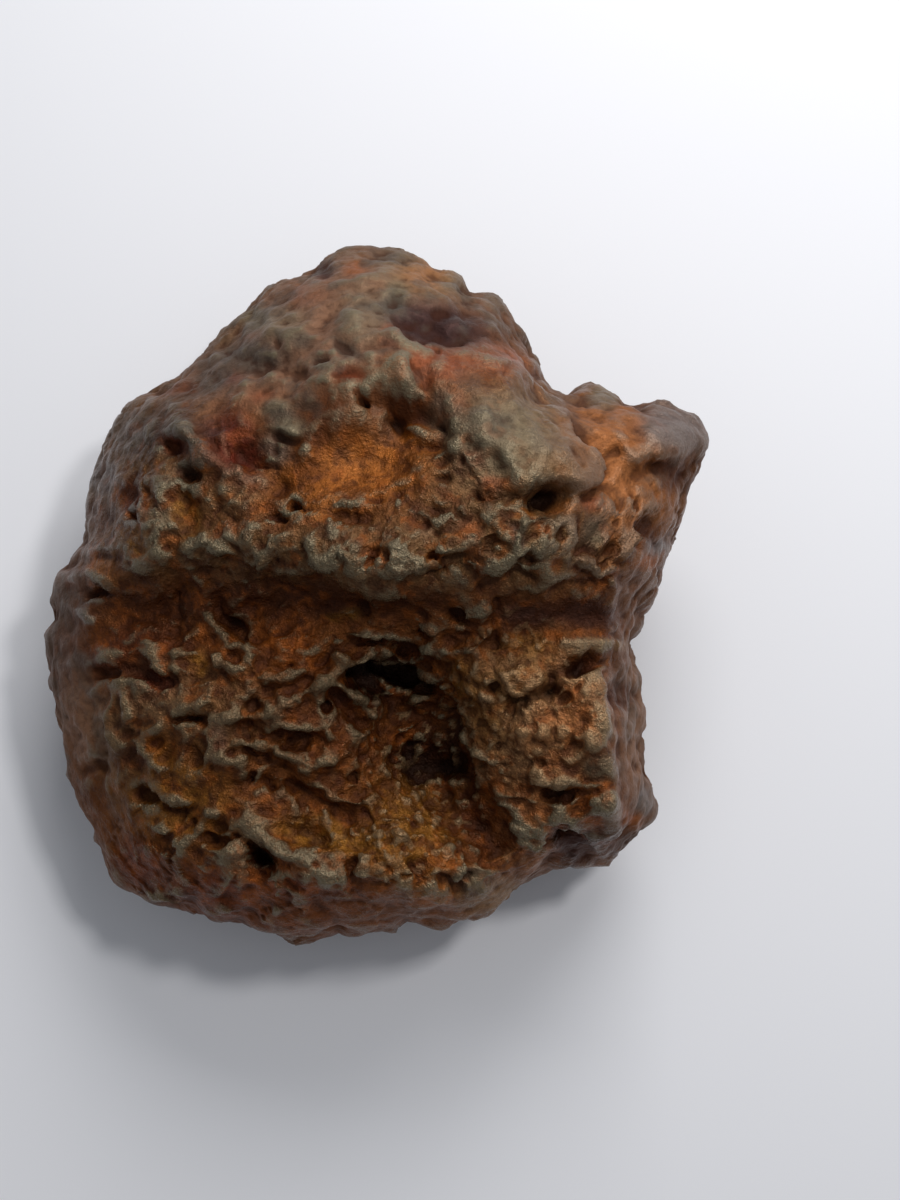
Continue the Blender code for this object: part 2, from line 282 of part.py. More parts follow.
# Knobs of the upper side, and pits as knobs of negative height: the place in plan, the half length and half
# breadth, the turn of the length in degrees, the height, and how steep the side is
KNOBS = [
    # the far slope and its purple hollow
    (7, 34, 7.5, 2.6, -12, -1.6, 3), (1.5, 36.8, 1.1, 0.9, 0, -0.6, 3), (7.5, 35.6, 1.1, 0.8, 0, -0.7, 3),
    (10.9, 35.5, 0.8, 0.8, 0, -0.6, 3), (3.3, 32.6, 1.4, 0.8, 0, -0.9, 3), (5.6, 31.8, 0.9, 0.7, 0, -0.6, 3),
    (11.5, 32.9, 2, 0.8, -5, -0.6, 3), (13, 31.1, 0.9, 0.5, 15, 0.5, 3), (6.9, 29.7, 0.5, 0.7, 30, -0.8, 3),
    (15.9, 27.7, 0.5, 0.5, 0, -0.7, 3), (9, 39.8, 1.6, 1.2, -30, 0.7, 3), (14, 36.8, 1.5, 1.2, 0, 0.7, 3),
    (19.2, 29.3, 1, 1, 0, 0.6, 3), (-7.2, 40.6, 1.3, 1.1, 20, -1, 3), (-15.5, 34.6, 1.2, 1.1, 0, -0.9, 3),
    (-12.7, 31.8, 0.7, 0.6, 0, -0.7, 3), (-7.9, 29.5, 1.2, 0.6, 10, -1, 3), (-4, 35, 1.4, 1.3, 0, 0.7, 2),
    (-11, 35, 1.2, 1, 0, 0.6, 2), (-13, 33, 1.1, 1, 0, 0.6, 2), (-3.8, 27.4, 2.2, 1, -10, -0.9, 3),
    (-2.6, 24.8, 0.8, 0.7, 0, -1.8, 4), (16.5, 33.5, 1.6, 1.2, -50, 0.5, 2),
    # the orange pocket and what is round it
    (1, 20.5, 8.5, 4.8, 20, -1.6, 3), (3.8, 22.6, 4.2, 2.6, -14, -1.1, 3), (-3.5, 16.5, 6, 3, 15, -1, 3),
    (4.5, 21.3, 2.4, 1, -5, 0.8, 3), (-8, 19, 2, 1.5, 40, -0.6, 2), (2, 12.6, 0.9, 0.7, -30, -0.8, 3),
    (3.6, 13.2, 1.3, 0.6, 10, -0.6, 3), (-0.6, 12.2, 1.3, 0.4, -5, -0.8, 3),
    (-10.7, 11.2, 0.75, 0.7, 0, -1.8, 4),
    (-12.6, 9.8, 1.2, 0.6, -8, -1.4, 4), (-19.3, 10.6, 1.1, 0.6, -10, -0.8, 3),
    (-18.4, 9.6, 1.1, 0.6, 0, -0.8, 3),
    (-4, 10.9, 2, 0.8, 0, 0.6, 3), (-11.6, 20.8, 1.9, 1.1, 0, 0.9, 2), (-12, 19.5, 1.6, 0.5, -5, -0.8, 3),
    (-13, 17.8, 0.8, 0.8, 0, -0.7, 3), (-9.5, 18, 0.8, 1.2, 0, 0.6, 2),
    # left of the pocket
    (-17, 17.4, 2.6, 1.9, -20, -1.4, 3), (-14.3, 15.8, 1.8, 0.5, -8, -0.8, 3),
    (-15.8, 13.8, 1.7, 1.2, 0, 0.7, 3),
    (-18, 12.3, 2.6, 1.5, -15, 0.9, 3), (-12.7, 13.5, 1.6, 1.2, 0, -0.8, 3), (-16.3, 7.2, 1, 0.9, 0, 0.6, 2),
    (-18.6, 7.8, 1.5, 1.3, 0, 0.7, 2), (-13.2, 8.4, 1.8, 0.9, -10, -0.5, 3), (-11.8, 6, 1.7, 1.5, 0, 0.7, 3),
    (-8.2, 6.9, 0.9, 1.3, 0, 0.9, 2), (-11.5, 3.1, 1.6, 1, 0, 0.7, 3), (-25.8, 18.7, 1.7, 1, -30, -1.4, 3),
    (-28, 22, 3, 2.5, 0, 0.5, 2), (-23.6, 15.2, 1.6, 1.1, 0, -1.2, 3), (-30.5, 10, 0.8, 0.6, 0, -1.6, 4),
    (-31, 12, 1.2, 2.2, 0, -0.7, 3), (-24, 10, 1.5, 3, 10, -1, 3), (-34.8, 11, 1, 1.6, 10, -0.5, 2),
    (-34.6, 5.2, 1.4, 0.6, 0, -0.6, 3), (-35, 0.1, 1.5, 0.8, -5, -1.7, 4), (-37, 1.3, 1.4, 0.7, 0, -0.5, 2),
    (-34.4, 15.2, 1, 1, 0, -0.4, 2), (-31.5, 19.5, 1.5, 1, 0, -0.5, 2),
    # the right upper mass and its dark pit
    (20.8, 12.2, 2.8, 2, 10, -4, 4), (22.8, 12.6, 1.5, 1.1, 10, -1.6, 3), (23.5, 19.7, 0.9, 0.9, 0, -1, 3),
    (24, 17.2, 0.6, 0.5, 0, -0.5, 3),
    (14.2, 15.6, 2, 1.7, 0, -0.9, 3), (17.9, 16.2, 1, 0.8, 0, -0.5, 2), (8, 14.6, 0.8, 0.6, -30, -0.8, 3),
    (10.2, 16.8, 0.5, 0.7, 0, -0.6, 3), (11.4, 18.5, 1.3, 0.8, 0, -0.7, 3), (8.9, 19.9, 0.9, 0.5, 0, -0.7, 3),
    (8, 16.8, 1.3, 0.5, 8, -0.7, 3), (7, 10.9, 1.6, 0.6, -5, -0.7, 3), (5.5, 9.8, 0.9, 0.6, 0, -0.5, 3),
    (9.2, 18.2, 1.1, 0.8, 0, 0.5, 2), (13.9, 6.3, 0.6, 1.1, -30, -1.4, 4), (15.2, 5.7, 1, 1, 0, -0.7, 3),
    (18.4, 4.6, 1.3, 0.6, 0, -0.8, 3), (20.3, 6.4, 1.6, 1.3, 0, 0.6, 2), (22.7, 7.6, 0.5, 1.1, 10, -0.9, 3),
    (9.4, 10, 0.7, 0.5, 0, -0.5, 3), (11.5, 10, 1.4, 0.5, 5, -0.5, 3), (14.9, 9.6, 1.4, 1, 0, 0.5, 2),
    # the crest
    (6.8, 4.8, 1, 0.8, 0, -0.9, 3), (3, 6.7, 0.8, 0.4, -40, -0.6, 3), (3.2, 4.6, 1.6, 1.8, 0, 0.7, 2),
    (10.3, 6.6, 3, 1.6, 0, 0.5, 3), (-1.8, 3.8, 0.9, 0.5, 20, -1.1, 3), (-1.4, 5.4, 1.1, 0.9, 0, -0.8, 3),
    (0.5, 4.9, 0.7, 0.9, 0, -0.9, 3), (-6, 3, 0.7, 0.5, 0, -0.8, 3), (-4.5, 7.5, 3, 2.2, 10, 0.6, 3),
    (-5.5, 3.6, 1.5, 1, 0, 0.5, 2), (11.3, 2.8, 1.2, 0.8, -40, -0.8, 3), (15, 3.3, 1.6, 0.9, 20, 0.8, 2),
    (20.2, 1.4, 2, 1.3, 0, 0.7, 2),
    # the lobe behind the notch
    (33.4, 8.4, 1.6, 1.3, 0, -2, 4), (32.3, 7.2, 0.5, 1.1, 0, -0.9, 3), (35.7, 10, 0.9, 0.5, -20, -0.7, 3),
    (28.3, 6.8, 1, 0.9, 0, 1, 3), (29.8, 6.1, 0.5, 0.5, 0, -0.5, 3), (35.2, 6, 1.2, 0.9, 30, 0.7, 3),
    (26, 3.7, 0.9, 0.8, 0, 0.8, 2), (22.6, 3.4, 0.7, 1, 0, -0.6, 3), (30.6, 2, 0.8, 0.7, 0, -0.7, 3),
    (33, 1.6, 1.2, 0.7, 0, -0.7, 3), (30.5, 12, 3, 2, 0, 0.4, 2), (34.2, 13.3, 0.8, 0.5, -30, -0.5, 2),
    (29.4, 18, 1.5, 0.6, -15, -0.5, 2), (32, 20.6, 1, 0.8, 0, -0.4, 2), (38.2, 14.5, 0.9, 1, 0, -0.6, 3),
    # the left and the middle of the basin
    (-28.6, -2.2, 2.2, 1.4, 0, -0.7, 3), (-31, -3.4, 1.2, 0.6, 0, -0.7, 3),
    (-33, -4.8, 0.9, 0.6, -20, 0.6, 2),
    (-5, -2.6, 1.7, 0.9, 0, 0.9, 3), (-2.2, -1.6, 1.1, 1.3, 30, -1.6, 3),
    (-22.6, -20.5, 1.1, 0.9, 0, -0.9, 3),
    (-28.3, -18.8, 1.1, 1, 0, -0.7, 3), (-31, -20.6, 2, 1.3, -10, -0.8, 3),
    (-36, -21.8, 1.8, 0.9, 10, -0.8, 3),
    (-26.5, -11.8, 1, 0.7, 0, 0.7, 3), (-20.4, -8.2, 0.9, 0.8, 0, 0.6, 3),
    (-20.5, -11.9, 0.8, 0.7, 0, 0.6, 2),
    (-18.2, -15, 0.9, 0.7, 0, 0.8, 3), (-7.4, -8.1, 1.5, 1.2, 30, -1.8, 3),
    (-7, -13.8, 1.3, 0.7, -10, -1.3, 3),
    (-2.2, -13.4, 1.1, 1.4, 20, 0.8, 3), (-15.8, -13.2, 0.9, 0.7, 0, -0.8, 3),
    # the deep pit, with a knob on its floor
    (4.2, -16, 8.8, 4.6, -64, -2.5, 3), (0.6, -10.6, 3.4, 1.4, -6, -2.2, 3),
    (4.2, -11.4, 2, 1.2, -20, -1.6, 3),
    (5, -20.6, 3, 1.5, -25, -1.3, 3), (8.4, -21.6, 2, 1.2, -35, -1.3, 3), (8.2, -16.6, 1.2, 2.6, 15, -1.2, 2),
    (3.5, -17, 1.3, 1.1, 0, 1.9, 3), (-0.6, -15.2, 1.6, 1.2, -30, 1.3, 2), (1.2, -13.4, 1.2, 0.9, 15, 1, 3),
    (1.4, -19.2, 1.4, 1, 20, 1.1, 2), (4.8, -14.2, 1.1, 0.9, 0, 1, 3), (6.6, -18.4, 0.9, 0.8, 0, 0.8, 3),
    (-2.8, -12.6, 1.2, 0.9, 30, 0.8, 2),
    # the front of the basin
    (-15.4, -33.2, 1.4, 2, 10, -4, 4), (-16, -37, 1.2, 1.6, 0, -0.6, 2), (-8.5, -30, 5.5, 1.9, -10, -1.1, 3),
    (-16.2, -28.8, 2.4, 1.7, 10, 0.9, 3), (-3.4, -22.6, 1, 0.8, 0, -1.2, 3),
    (-16.7, -23, 0.8, 0.6, 0, -1.3, 4),
    (-20.7, -27.2, 1.1, 0.8, 0, 0.9, 2), (-20, -28.9, 1.1, 0.7, 0, -0.6, 3),
    (-2.2, -33.6, 1.4, 1.9, 15, 1, 3),
    (-29.7, -25.1, 1.5, 1, -10, -1.8, 4), (-30.3, -27, 0.6, 0.5, 0, -0.6, 3), (-27.7, -29, 1, 0.8, 0, 0.9, 3),
    (-25, -30.8, 1.4, 0.9, -15, 0.8, 3), (-24, -28.7, 0.9, 0.6, 0, -1, 3),
    (-33.6, -29.3, 1.2, 0.5, 0, -0.5, 3),
    (1.4, -28.1, 1.2, 0.6, 0, 0.7, 4), (3.6, -32.2, 1.1, 0.8, 0, 0.7, 3), (10, -34.2, 0.7, 0.6, 0, 0.8, 3),
    (11.2, -35.5, 0.7, 0.6, 0, -1, 3), (10.8, -37, 0.6, 1, 0, 0.7, 3), (13, -37, 1.1, 1.2, 0, 0.8, 3),
    (15.1, -37, 0.7, 0.5, 0, -0.8, 3), (3.4, -34.9, 0.6, 1, 0, -0.9, 3), (-11.5, -41.3, 4, 1.8, 0, 1, 3),
    (-2, -41.2, 3.5, 1.8, 0, 1, 3), (7.5, -40.6, 4, 1.2, 0, 0.6, 3),
    # the right of the basin, its crumbs and its flat-faced block
    (17.6, -10.6, 3.2, 2.1, -8, 1.1, 4), (17.5, -18, 1.5, 1.6, 10, 0.9, 4),
    (16.6, -14.4, 0.8, 1.3, -15, -1.2, 3),
    (18.3, -14.6, 0.8, 0.9, 0, 0.7, 3), (20, -17, 1.4, 1.2, 0, 0.7, 3), (19.5, -20.8, 0.5, 0.5, 0, -0.9, 3),
    (12.6, -21.2, 0.9, 0.6, 0, -0.8, 3), (12.3, -16, 0.7, 0.4, 0, -0.8, 3),
    (14.5, -19.3, 0.5, 0.7, -10, -1, 3),
    (25.3, -8.7, 2.4, 1, 12, -2.6, 4), (28.1, -10, 0.8, 0.6, 0, -1.3, 3), (29.2, -4.9, 0.8, 0.6, 0, -0.9, 3),
    (24.3, -19.1, 0.7, 0.5, 50, -1, 3), (26, -18.5, 1.3, 1.1, 0, 0.7, 3), (22.7, -13, 0.8, 0.5, 0, -0.8, 3),
    (24.8, -11, 0.5, 0.9, -20, -0.8, 3), (25.7, -2.3, 3, 1.4, 0, -0.8, 3), (5.2, -4.7, 1.3, 0.6, 0, -1.2, 3),
    (5, -2.2, 0.8, 0.5, 0, -0.9, 3), (10, -2.9, 1, 0.7, -30, -1.2, 3),
    # the right rim and the recesses beside it
    (30, -12.6, 1.7, 2, 0, -2, 4), (30, -16.3, 1, 0.7, -20, -1, 3), (22.3, -25.6, 1.3, 0.8, -10, -2, 4),
    (27.9, -28.6, 1.2, 1.1, 0, -0.8, 3), (25.8, -26.3, 0.9, 0.7, 0, -0.5, 3), (27, -23, 1.2, 0.5, 0, -0.6, 3),
    (24.9, -31.3, 2, 1.9, 20, -2.5, 4),
]

# Thumbprint dents below the edge: the direction from the middle of the lump in degrees round and degrees up,
# the radius and the depth
DENTS = [
    (-80, -8, 7, 1.6), (-52, -14, 6, 1.4), (-25, -6, 7, 1.8), (5, -12, 6, 1.4), (32, -4, 7, 1.7),
    (60, -10, 8, 2.0),
    (92, -6, 8, 1.8), (122, -12, 7, 1.6), (150, -4, 7, 1.8), (178, -12, 8, 1.8), (205, -6, 6, 1.5),
    (232, -14, 7, 1.7),
    (255, -8, 6, 1.4), (-65, -36, 8, 2.0), (-10, -34, 9, 2.2), (40, -36, 9, 2.0), (95, -34, 10, 2.4),
    (150, -36, 9, 2.2),
    (205, -35, 9, 2.0), (250, -38, 8, 1.8),
]

# Lumpiness: for each size of lump, its height on the upper side, and below the edge
LUMPS = [(9.0, 0.0, 2.2), (4.2, 0.30, 0.7), (2.0, 0.15, 0.2)]


def plan_direction():
    """The unit vectors of the plan: to its right, up it, and from it to the eye."""
    right = np.array([1.0, 0.0, 0.0])
    up = np.array([0.0, math.cos(EYE_TILT), math.sin(EYE_TILT)])
    out = np.array([0.0, -math.sin(EYE_TILT), math.cos(EYE_TILT)])
    return right, up, out


def real_point(u, v, height):
    """The point at this height that the eye sees at u, v of the plan."""
    right, up, out = plan_direction()
    level = np.array([0.0, 0.0, EYE_LEVEL])
    eye = level + EYE_AIM[0] * right + EYE_AIM[1] * up + EYE_DISTANCE * out
    on_plan = level + np.outer(u, right) + np.outer(v, up)
    share = (eye[2] - height) / (eye[2] - on_plan[:, 2])
    return eye + (on_plan - eye) * share[:, None]


def outline_radius():
    """Distance from the plan's centre to the outline at every degree, as drawn and smoothed."""
    points = np.array(OUTLINE) - PLAN_CENTRE
    angles = np.arctan2(points[:, 1], points[:, 0])
    radii = np.hypot(points[:, 0], points[:, 1])
    order = np.argsort(angles)
    round_about = np.radians(np.arange(-180, 180))
    drawn = np.interp(round_about, angles[order], radii[order], period=2 * math.pi)
    apart = (round_about[:, None] - round_about + math.pi) % (2 * math.pi) - math.pi
    nearness = np.exp(-(apart / OUTLINE_SMOOTHING) ** 2)
    return round_about, drawn, nearness @ drawn / nearness.sum(axis=1)


def through_spots(spots, u, v):
    """A smooth sheet through the heights of the spots, read at u, v: a thin plate spline."""
    spots = np.array(spots, float)

    def bend(distance_squared):
        return 0.5 * distance_squared * np.log(distance_squared + 1e-9)

    def flat_terms(x, y):
        return np.stack([np.ones_like(x), x, y], axis=1)

    x, y, height = spots.T
    count = len(spots)
    apart = (x[:, None] - x) ** 2 + (y[:, None] - y) ** 2
    system = np.zeros((count + 3, count + 3))
    system[:count, :count] = bend(apart) + np.eye(count)
    system[:count, count:] = flat_terms(x, y)
    system[count:, :count] = flat_terms(x, y).T
    weights = np.linalg.solve(system, np.append(height, [0, 0, 0]))
    reach = (u[:, None] - x) ** 2 + (v[:, None] - y) ** 2
    return bend(reach) @ weights[:count] + flat_terms(u, v) @ weights[count:]


def ridge_height(u, v, height, left, right, line):
    """A ridge's height at each place: highest on its line, with a side of its own width to each hand."""
    nearest = np.full(len(u), np.inf)
    hand = np.zeros(len(u))
    for (start_u, start_v), (end_u, end_v) in zip(line, line[1:]):
        along_u = end_u - start_u
        along_v = end_v - start_v
        share = ((u - start_u) * along_u + (v - start_v) * along_v) / (along_u ** 2 + along_v ** 2)
        share = np.clip(share, 0, 1)
        off_u = u - start_u - share * along_u
        off_v = v - start_v - share * along_v
        distance = np.hypot(off_u, off_v)
        closer = distance < nearest
        hand = np.where(closer, along_u * off_v - along_v * off_u, hand)
        nearest = np.where(closer, distance, nearest)
    width = np.maximum(np.where(hand > 0, left, right), LEAST_WIDTH)
    return height * np.exp(-(nearest / width) ** 2)


def knob_height(u, v, place_u, place_v, length, breadth, turn, height, steepness):
    """A knob's height at each place: an oval with a flat top when it is steep."""
    turn = math.radians(turn)
    length = max(length, LEAST_WIDTH)
    breadth = max(breadth, LEAST_WIDTH)
    along = ((u - place_u) * math.cos(turn) + (v - place_v) * math.sin(turn)) / length
    across = ((v - place_v) * math.cos(turn) - (u - place_u) * math.sin(turn)) / breadth
    return height * np.exp(-np.hypot(along, across) ** steepness)


def relief(u, v):
    """The height of all ridges and knobs together at each place of the plan."""
    total = np.zeros(len(u))
    for ridge in RIDGES:
        total += ridge_height(u, v, *ridge)
    for knob in KNOBS:
        total += knob_height(u, v, *knob)
    return total


def ball_grid(cells):
    """A cube of square cells blown up to a unit ball: its directions and its faces."""
    mesh = bmesh.new()
    bmesh.ops.create_cube(mesh, size=2.0)
    bmesh.ops.subdivide_edges(mesh, edges=mesh.edges[:], cuts=cells - 1, use_grid_fill=True)
    mesh.verts.index_update()
    cube = np.array([vertex.co[:] for vertex in mesh.verts])
    faces = np.array([[vertex.index for vertex in face.verts] for face in mesh.faces])
    mesh.free()
    cube = np.tan(cube * math.pi / 4)
    return cube / np.linalg.norm(cube, axis=1)[:, None], faces


def plain_lump(directions):
    """The lump without its relief, for the directions of a unit ball: its points, u, v, and how far down."""
    from_top = np.arccos(np.clip(directions[:, 2], -1, 1))
    angle = np.arctan2(directions[:, 1], directions[:, 0])
    degrees, drawn, smoothed = outline_radius()
    smooth_radius = np.interp(angle, degrees, smoothed, period=2 * math.pi)
    wiggle = np.interp(angle, degrees, drawn, period=2 * math.pi) - smooth_radius
    edge_u = PLAN_CENTRE[0] + smooth_radius * np.cos(angle)
    edge_v = PLAN_CENTRE[1] + smooth_radius * np.sin(angle)
    edge_height = through_spots(EDGE_HEIGHTS, edge_u, edge_v)

    # The upper face: even steps out to the shoulder, then even steps round it
    way = np.minimum(from_top / OUTLINE_ANGLE, 1)
    turn = np.clip((way - SHOULDER_START) / (1 - SHOULDER_START), 0, 1) * math.pi / 2
    width = np.interp(np.degrees(angle), *np.array(SHOULDER_WIDTHS).T)
    inner = way / SHOULDER_START * (smooth_radius - width)
    outer = smooth_radius - width * (1 - np.sin(turn))
    reach = np.where(way < SHOULDER_START, inner, outer) + wiggle * np.sin(turn) ** 6
    u = PLAN_CENTRE[0] + reach * np.cos(angle)
    v = PLAN_CENTRE[1] + reach * np.sin(angle)
    top = edge_height + (through_spots(FACE_HEIGHTS, u, v) - edge_height) * np.cos(turn)
    upper = real_point(u, v, top)

    # The underside: a belly from the edge down to the flat spot, on which the outline's wiggles die away
    turn = np.clip((math.pi - from_top) / (math.pi - OUTLINE_ANGLE), 0, 1) * math.pi / 2
    below_edge = edge_height * np.cos(turn) ** UNDERSIDE_STEEPNESS
    wiggle_left = wiggle * np.exp(-(below_edge / WIGGLE_DEPTH) ** 2)
    edge_u += wiggle_left * np.cos(angle)
    edge_v += wiggle_left * np.sin(angle)
    edge = real_point(edge_u, edge_v, edge_height)
    flat_spot = np.array([*FLAT_SPOT, 0.0])
    lower = flat_spot + (edge - flat_spot) * (np.sin(turn) ** UNDERSIDE_FULLNESS)[:, None]
    lower[:, 2] = edge_height - below_edge - FLAT_SPOT_CUT

    is_upper = from_top <= OUTLINE_ANGLE
    return np.where(is_upper[:, None], upper, lower), u, v, np.where(is_upper, 0, below_edge)


def outward(points, faces):
    """The direction out of the surface at each point."""
    corners = points[faces]
    across = np.cross(corners[:, 2] - corners[:, 0], corners[:, 3] - corners[:, 1])
    normals = np.zeros_like(points)
    for corner in range(4):
        np.add.at(normals, faces[:, corner], across)
    return normals / np.linalg.norm(normals, axis=1)[:, None]


def lumpiness(points, below):
    """Soft irregular lumps in several sizes."""
    total = np.zeros(len(points))
    for size, on_top, underneath in LUMPS:
        wave = np.array([noise.noise(Vector(point)) for point in points / size])
        total += wave * (on_top + (underneath - on_top) * below)
    return total


def dent_depth(points):
    """The depth of the thumbprint dents at each point."""
    middle = np.array([0.0, 0.0, EYE_LEVEL])
    sight = points - middle
    sight /= np.linalg.norm(sight, axis=1)[:, None]
    total = np.zeros(len(points))
    for azimuth, elevation, radius, depth in DENTS:
        azimuth = math.radians(azimuth)
        elevation = math.radians(elevation)
        level = math.cos(elevation)
        aim = np.array([level * math.cos(azimuth), level * math.sin(azimuth), math.sin(elevation)])
        centre = points[np.argmax(sight @ aim)]
        distance = np.linalg.norm(points - centre, axis=1)
        total += depth * np.exp(-(distance / radius) ** 3)
    return total


def lump_points(directions, faces):
    """The whole surface in real millimetres, about the middle of the flat spot."""
    points, u, v, below_edge = plain_lump(directions)
    normals = outward(points, faces)
    below = 1 - np.exp(-(below_edge / WIGGLE_DEPTH) ** 2)
    from_flat_spot = np.linalg.norm(points[:, :2] - FLAT_SPOT, axis=1)
    off_flat = np.where(below_edge > 0, 1 - np.exp(-(from_flat_spot / FLAT_SPOT_CALM) ** 4), 1)
    facing = (normals @ plan_direction()[2] - RELIEF_GONE) / (RELIEF_WHOLE - RELIEF_GONE)
    raised = relief(u, v) * np.clip(facing, 0, 1) * (1 - below)
    raised += (lumpiness(points, below) - dent_depth(points) * below) * off_flat
    return points + normals * raised[:, None] - [*FLAT_SPOT, 0.0]


def build_mesh(name, points, faces):
    """A mesh object from points in millimetres."""
    data = bpy.data.meshes.new(name)
    data.from_pydata((points * MM).tolist(), [], faces.tolist())
    data.update()
    stone = bpy.data.objects.new(name, data)
    bpy.context.scene.collection.objects.link(stone)
    return stone


def thin_out(stone, triangles):
    """Fewer triangles, where the surface bends least."""
    thinning = stone.modifiers.new("thinning", "DECIMATE")
    thinning.ratio = triangles / (2 * len(stone.data.polygons))
    depsgraph = bpy.context.evaluated_depsgraph_get()
    thinned = bpy.data.meshes.new_from_object(stone.evaluated_get(depsgraph))
    stone.modifiers.remove(thinning)
    stone.data = thinned


def cut_flat_spot(stone):
    """Cut the underside off at the ground, and close the cut with one flat face."""
    mesh = bmesh.new()
    mesh.from_mesh(stone.data)
    everything = mesh.verts[:] + mesh.edges[:] + mesh.faces[:]
    cut = bmesh.ops.bisect_plane(mesh, geom=everything, plane_co=(0, 0, 0), plane_no=(0, 0, 1), clear_inner=True)
    rim = [item for item in cut["geom_cut"] if isinstance(item, bmesh.types.BMEdge)]
    bmesh.ops.contextual_create(mesh, geom=rim)
    bmesh.ops.recalc_face_normals(mesh, faces=mesh.faces[:])
    mesh.to_mesh(stone.data)
    mesh.free()


def rust_material():
    """Dark brown rusted iron."""
    material = bpy.data.materials.new("rusted iron")
    material.use_nodes = True
    shader = material.node_tree.nodes["Principled BSDF"]
    shader.inputs["Base Color"].default_value = (0.12, 0.075, 0.05, 1.0)
    shader.inputs["Roughness"].default_value = 0.55
    shader.inputs["Metallic"].default_value = 0.3
    return material


def main():
    for leftover in list(bpy.data.objects):
        bpy.data.objects.remove(leftover)
    directions, faces = ball_grid(GRID)
    stone = build_mesh("meteorite", lump_points(directions, faces), faces)
    thin_out(stone, TRIANGLES)
    cut_flat_spot(stone)
    stone.data.materials.clear()
    stone.data.materials.append(rust_material())
    stone.data.shade_smooth()


main()
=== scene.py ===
"""The looks of the iron meteorite: its fine surface and its rust, on a pale ground in soft light.

The stone is one mesh on a ball's grid. Its upper side is drawn in plan, as the camera above the stone and a
little in front of it sees it: u runs to the right and v away from the front, in millimetres. Heights of the
edge and the face are above the ground, and those of ridges and knobs are out of the face. Lumps, folds,
crumbs and pores are added between them.

The colours are rust in the hollows and worn iron on what stands out, each laid down in named patches. Some
patches are painted shade, dark in pits, grooves, recesses and under overhangs, and one paler patch is painted
light on crumbs that face the light; crevices are darkened, partly as painted shade, and deep hollows turned
near black as painted shade.
"""
import math

import bmesh
import bpy
import numpy as np
from mathutils import Matrix, Vector, noise


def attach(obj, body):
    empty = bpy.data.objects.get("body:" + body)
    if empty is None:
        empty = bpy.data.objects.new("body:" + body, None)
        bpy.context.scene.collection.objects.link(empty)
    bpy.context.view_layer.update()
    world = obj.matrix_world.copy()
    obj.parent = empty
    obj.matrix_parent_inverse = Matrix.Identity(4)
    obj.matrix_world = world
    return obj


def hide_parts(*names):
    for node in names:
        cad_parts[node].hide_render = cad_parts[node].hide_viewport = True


MM = 0.001

# The eye over the plan: its distance, how far it leans to the front, the plan's height above the ground, and
# the place in plan that it looks down on squarely
EYE_DISTANCE = 220.0
EYE_TILT = math.radians(12.0)
EYE_LEVEL = 20.0
EYE_AIM = (8.75, -0.6)

# Where the upper face's grid is centred in plan, and the place on the ground that the underside closes in on,
# which becomes the origin
PLAN_CENTRE = (0.0, -5.0)
FLAT_SPOT = (-0.9, 0.8)

# The upper face: the share of the way out at which its shoulder starts, how widely the outline is smoothed,
# how late on the shoulder the outline's wiggles come in, and how far below the edge they have died away
SHOULDER_START = 0.66
OUTLINE_SMOOTHING = math.radians(6.0)
WIGGLE_ONSET = 6
WIGGLE_DEPTH = 4.0

# The underside: how full and how steep it is, how much is cut off it for the flat spot, and how far round
# that spot it stays free of lumps
UNDERSIDE_FULLNESS = 0.80
UNDERSIDE_STEEPNESS = 1.15
FLAT_SPOT_CUT = 0.24
FLAT_SPOT_CALM = 16.0

# How steeply a region ends at its rim, and a dent at its radius
REGION_RIM = 4
DENT_RIM = 3

# The cells along one side of the cube that becomes the grid, and the angle from the top to the outline
GRID = 128
OUTLINE_ANGLE = math.radians(124.0)

# The relief is drawn in plan, so it fades away where the surface is steep: how squarely a place faces the eye
# where the relief is gone, and where it is whole
RELIEF_GONE = 0.30
RELIEF_WHOLE = 0.75

# A ridge's line wavers, and the ridge comes and goes along it: the size of the waves with how far they push
# the line, how far apart the pushes in u and in v are read, the size of the waves that it fades by, and how
# far it fades
WAVERS = [(4.0, 0.7), (1.7, 0.5), (0.8, 0.25)]
WAVER_APART = 40.0
FADING_SIZE = 3.0
FADING = 0.6

# How many times as wide and as high as in its row a ridge is, the height that this doesn't raise it past, and
# how rounded its top is
RIDGE_SPREAD = 1.7
RIDGE_RISE = 1.7
TALL = 1.4
RIDGE_POINT = 1.3

# The most that ridges and knobs stand up together, and the most that the fine relief does
MOST_RAISED = 1.7
MOST_FINE = 0.8

# Fine relief: the sizes of its lumps, plates, folds and crumbs, each with its part of the height
SOFT_LUMPS = [(5.5, 1.0), (2.8, 0.7), (1.3, 0.3)]
LUMPS = [(5.0, 1.0), (2.4, 0.55), (1.1, 0.25)]
PLATES = [(5.5, 1.0), (2.6, 0.5)]
FOLDS = [(3.8, 1.0), (1.9, 0.5), (0.9, 0.2)]
CRUMBS = [(2.2, 0.8), (1.1, 0.4)]

# How far plates tilt, how much the lumps count beside them, and how rounded the creases between lumps are
PLATE_TILT = 1.6
LUMP_PART = 0.6
CREASE_SOFTNESS = 0.03

# How folds are drawn out, how far they bend and over what length, and how rounded their crests are
FOLD_STRETCH = (0.7, 1.0, 1.0)
FOLD_BEND = 1.2
FOLD_BEND_SIZE = 4.0
FOLD_SOFTNESS = 0.07

# How far the edges of crumbs and plates bend and over what length, how flat-topped a crumb is, the height of
# the lowest crumb and the level that crumbs are counted from
CRUMB_BEND = 0.5
CRUMB_BEND_SIZE = 1.6
CRUMB_FLATNESS = 1.8
CRUMB_LOWEST = 0.4
CRUMB_LEVEL = 0.5

# How far cells are spread to give each its own number
CELL_STRETCH = 7.3

# Pores: how far apart they may be, the share of places that have one, and its radius and depth
PORE_SIZE = 2.6
PORE_SHARE = 0.45
PORE_RADIUS = 0.16
PORE_DEPTH = 0.9

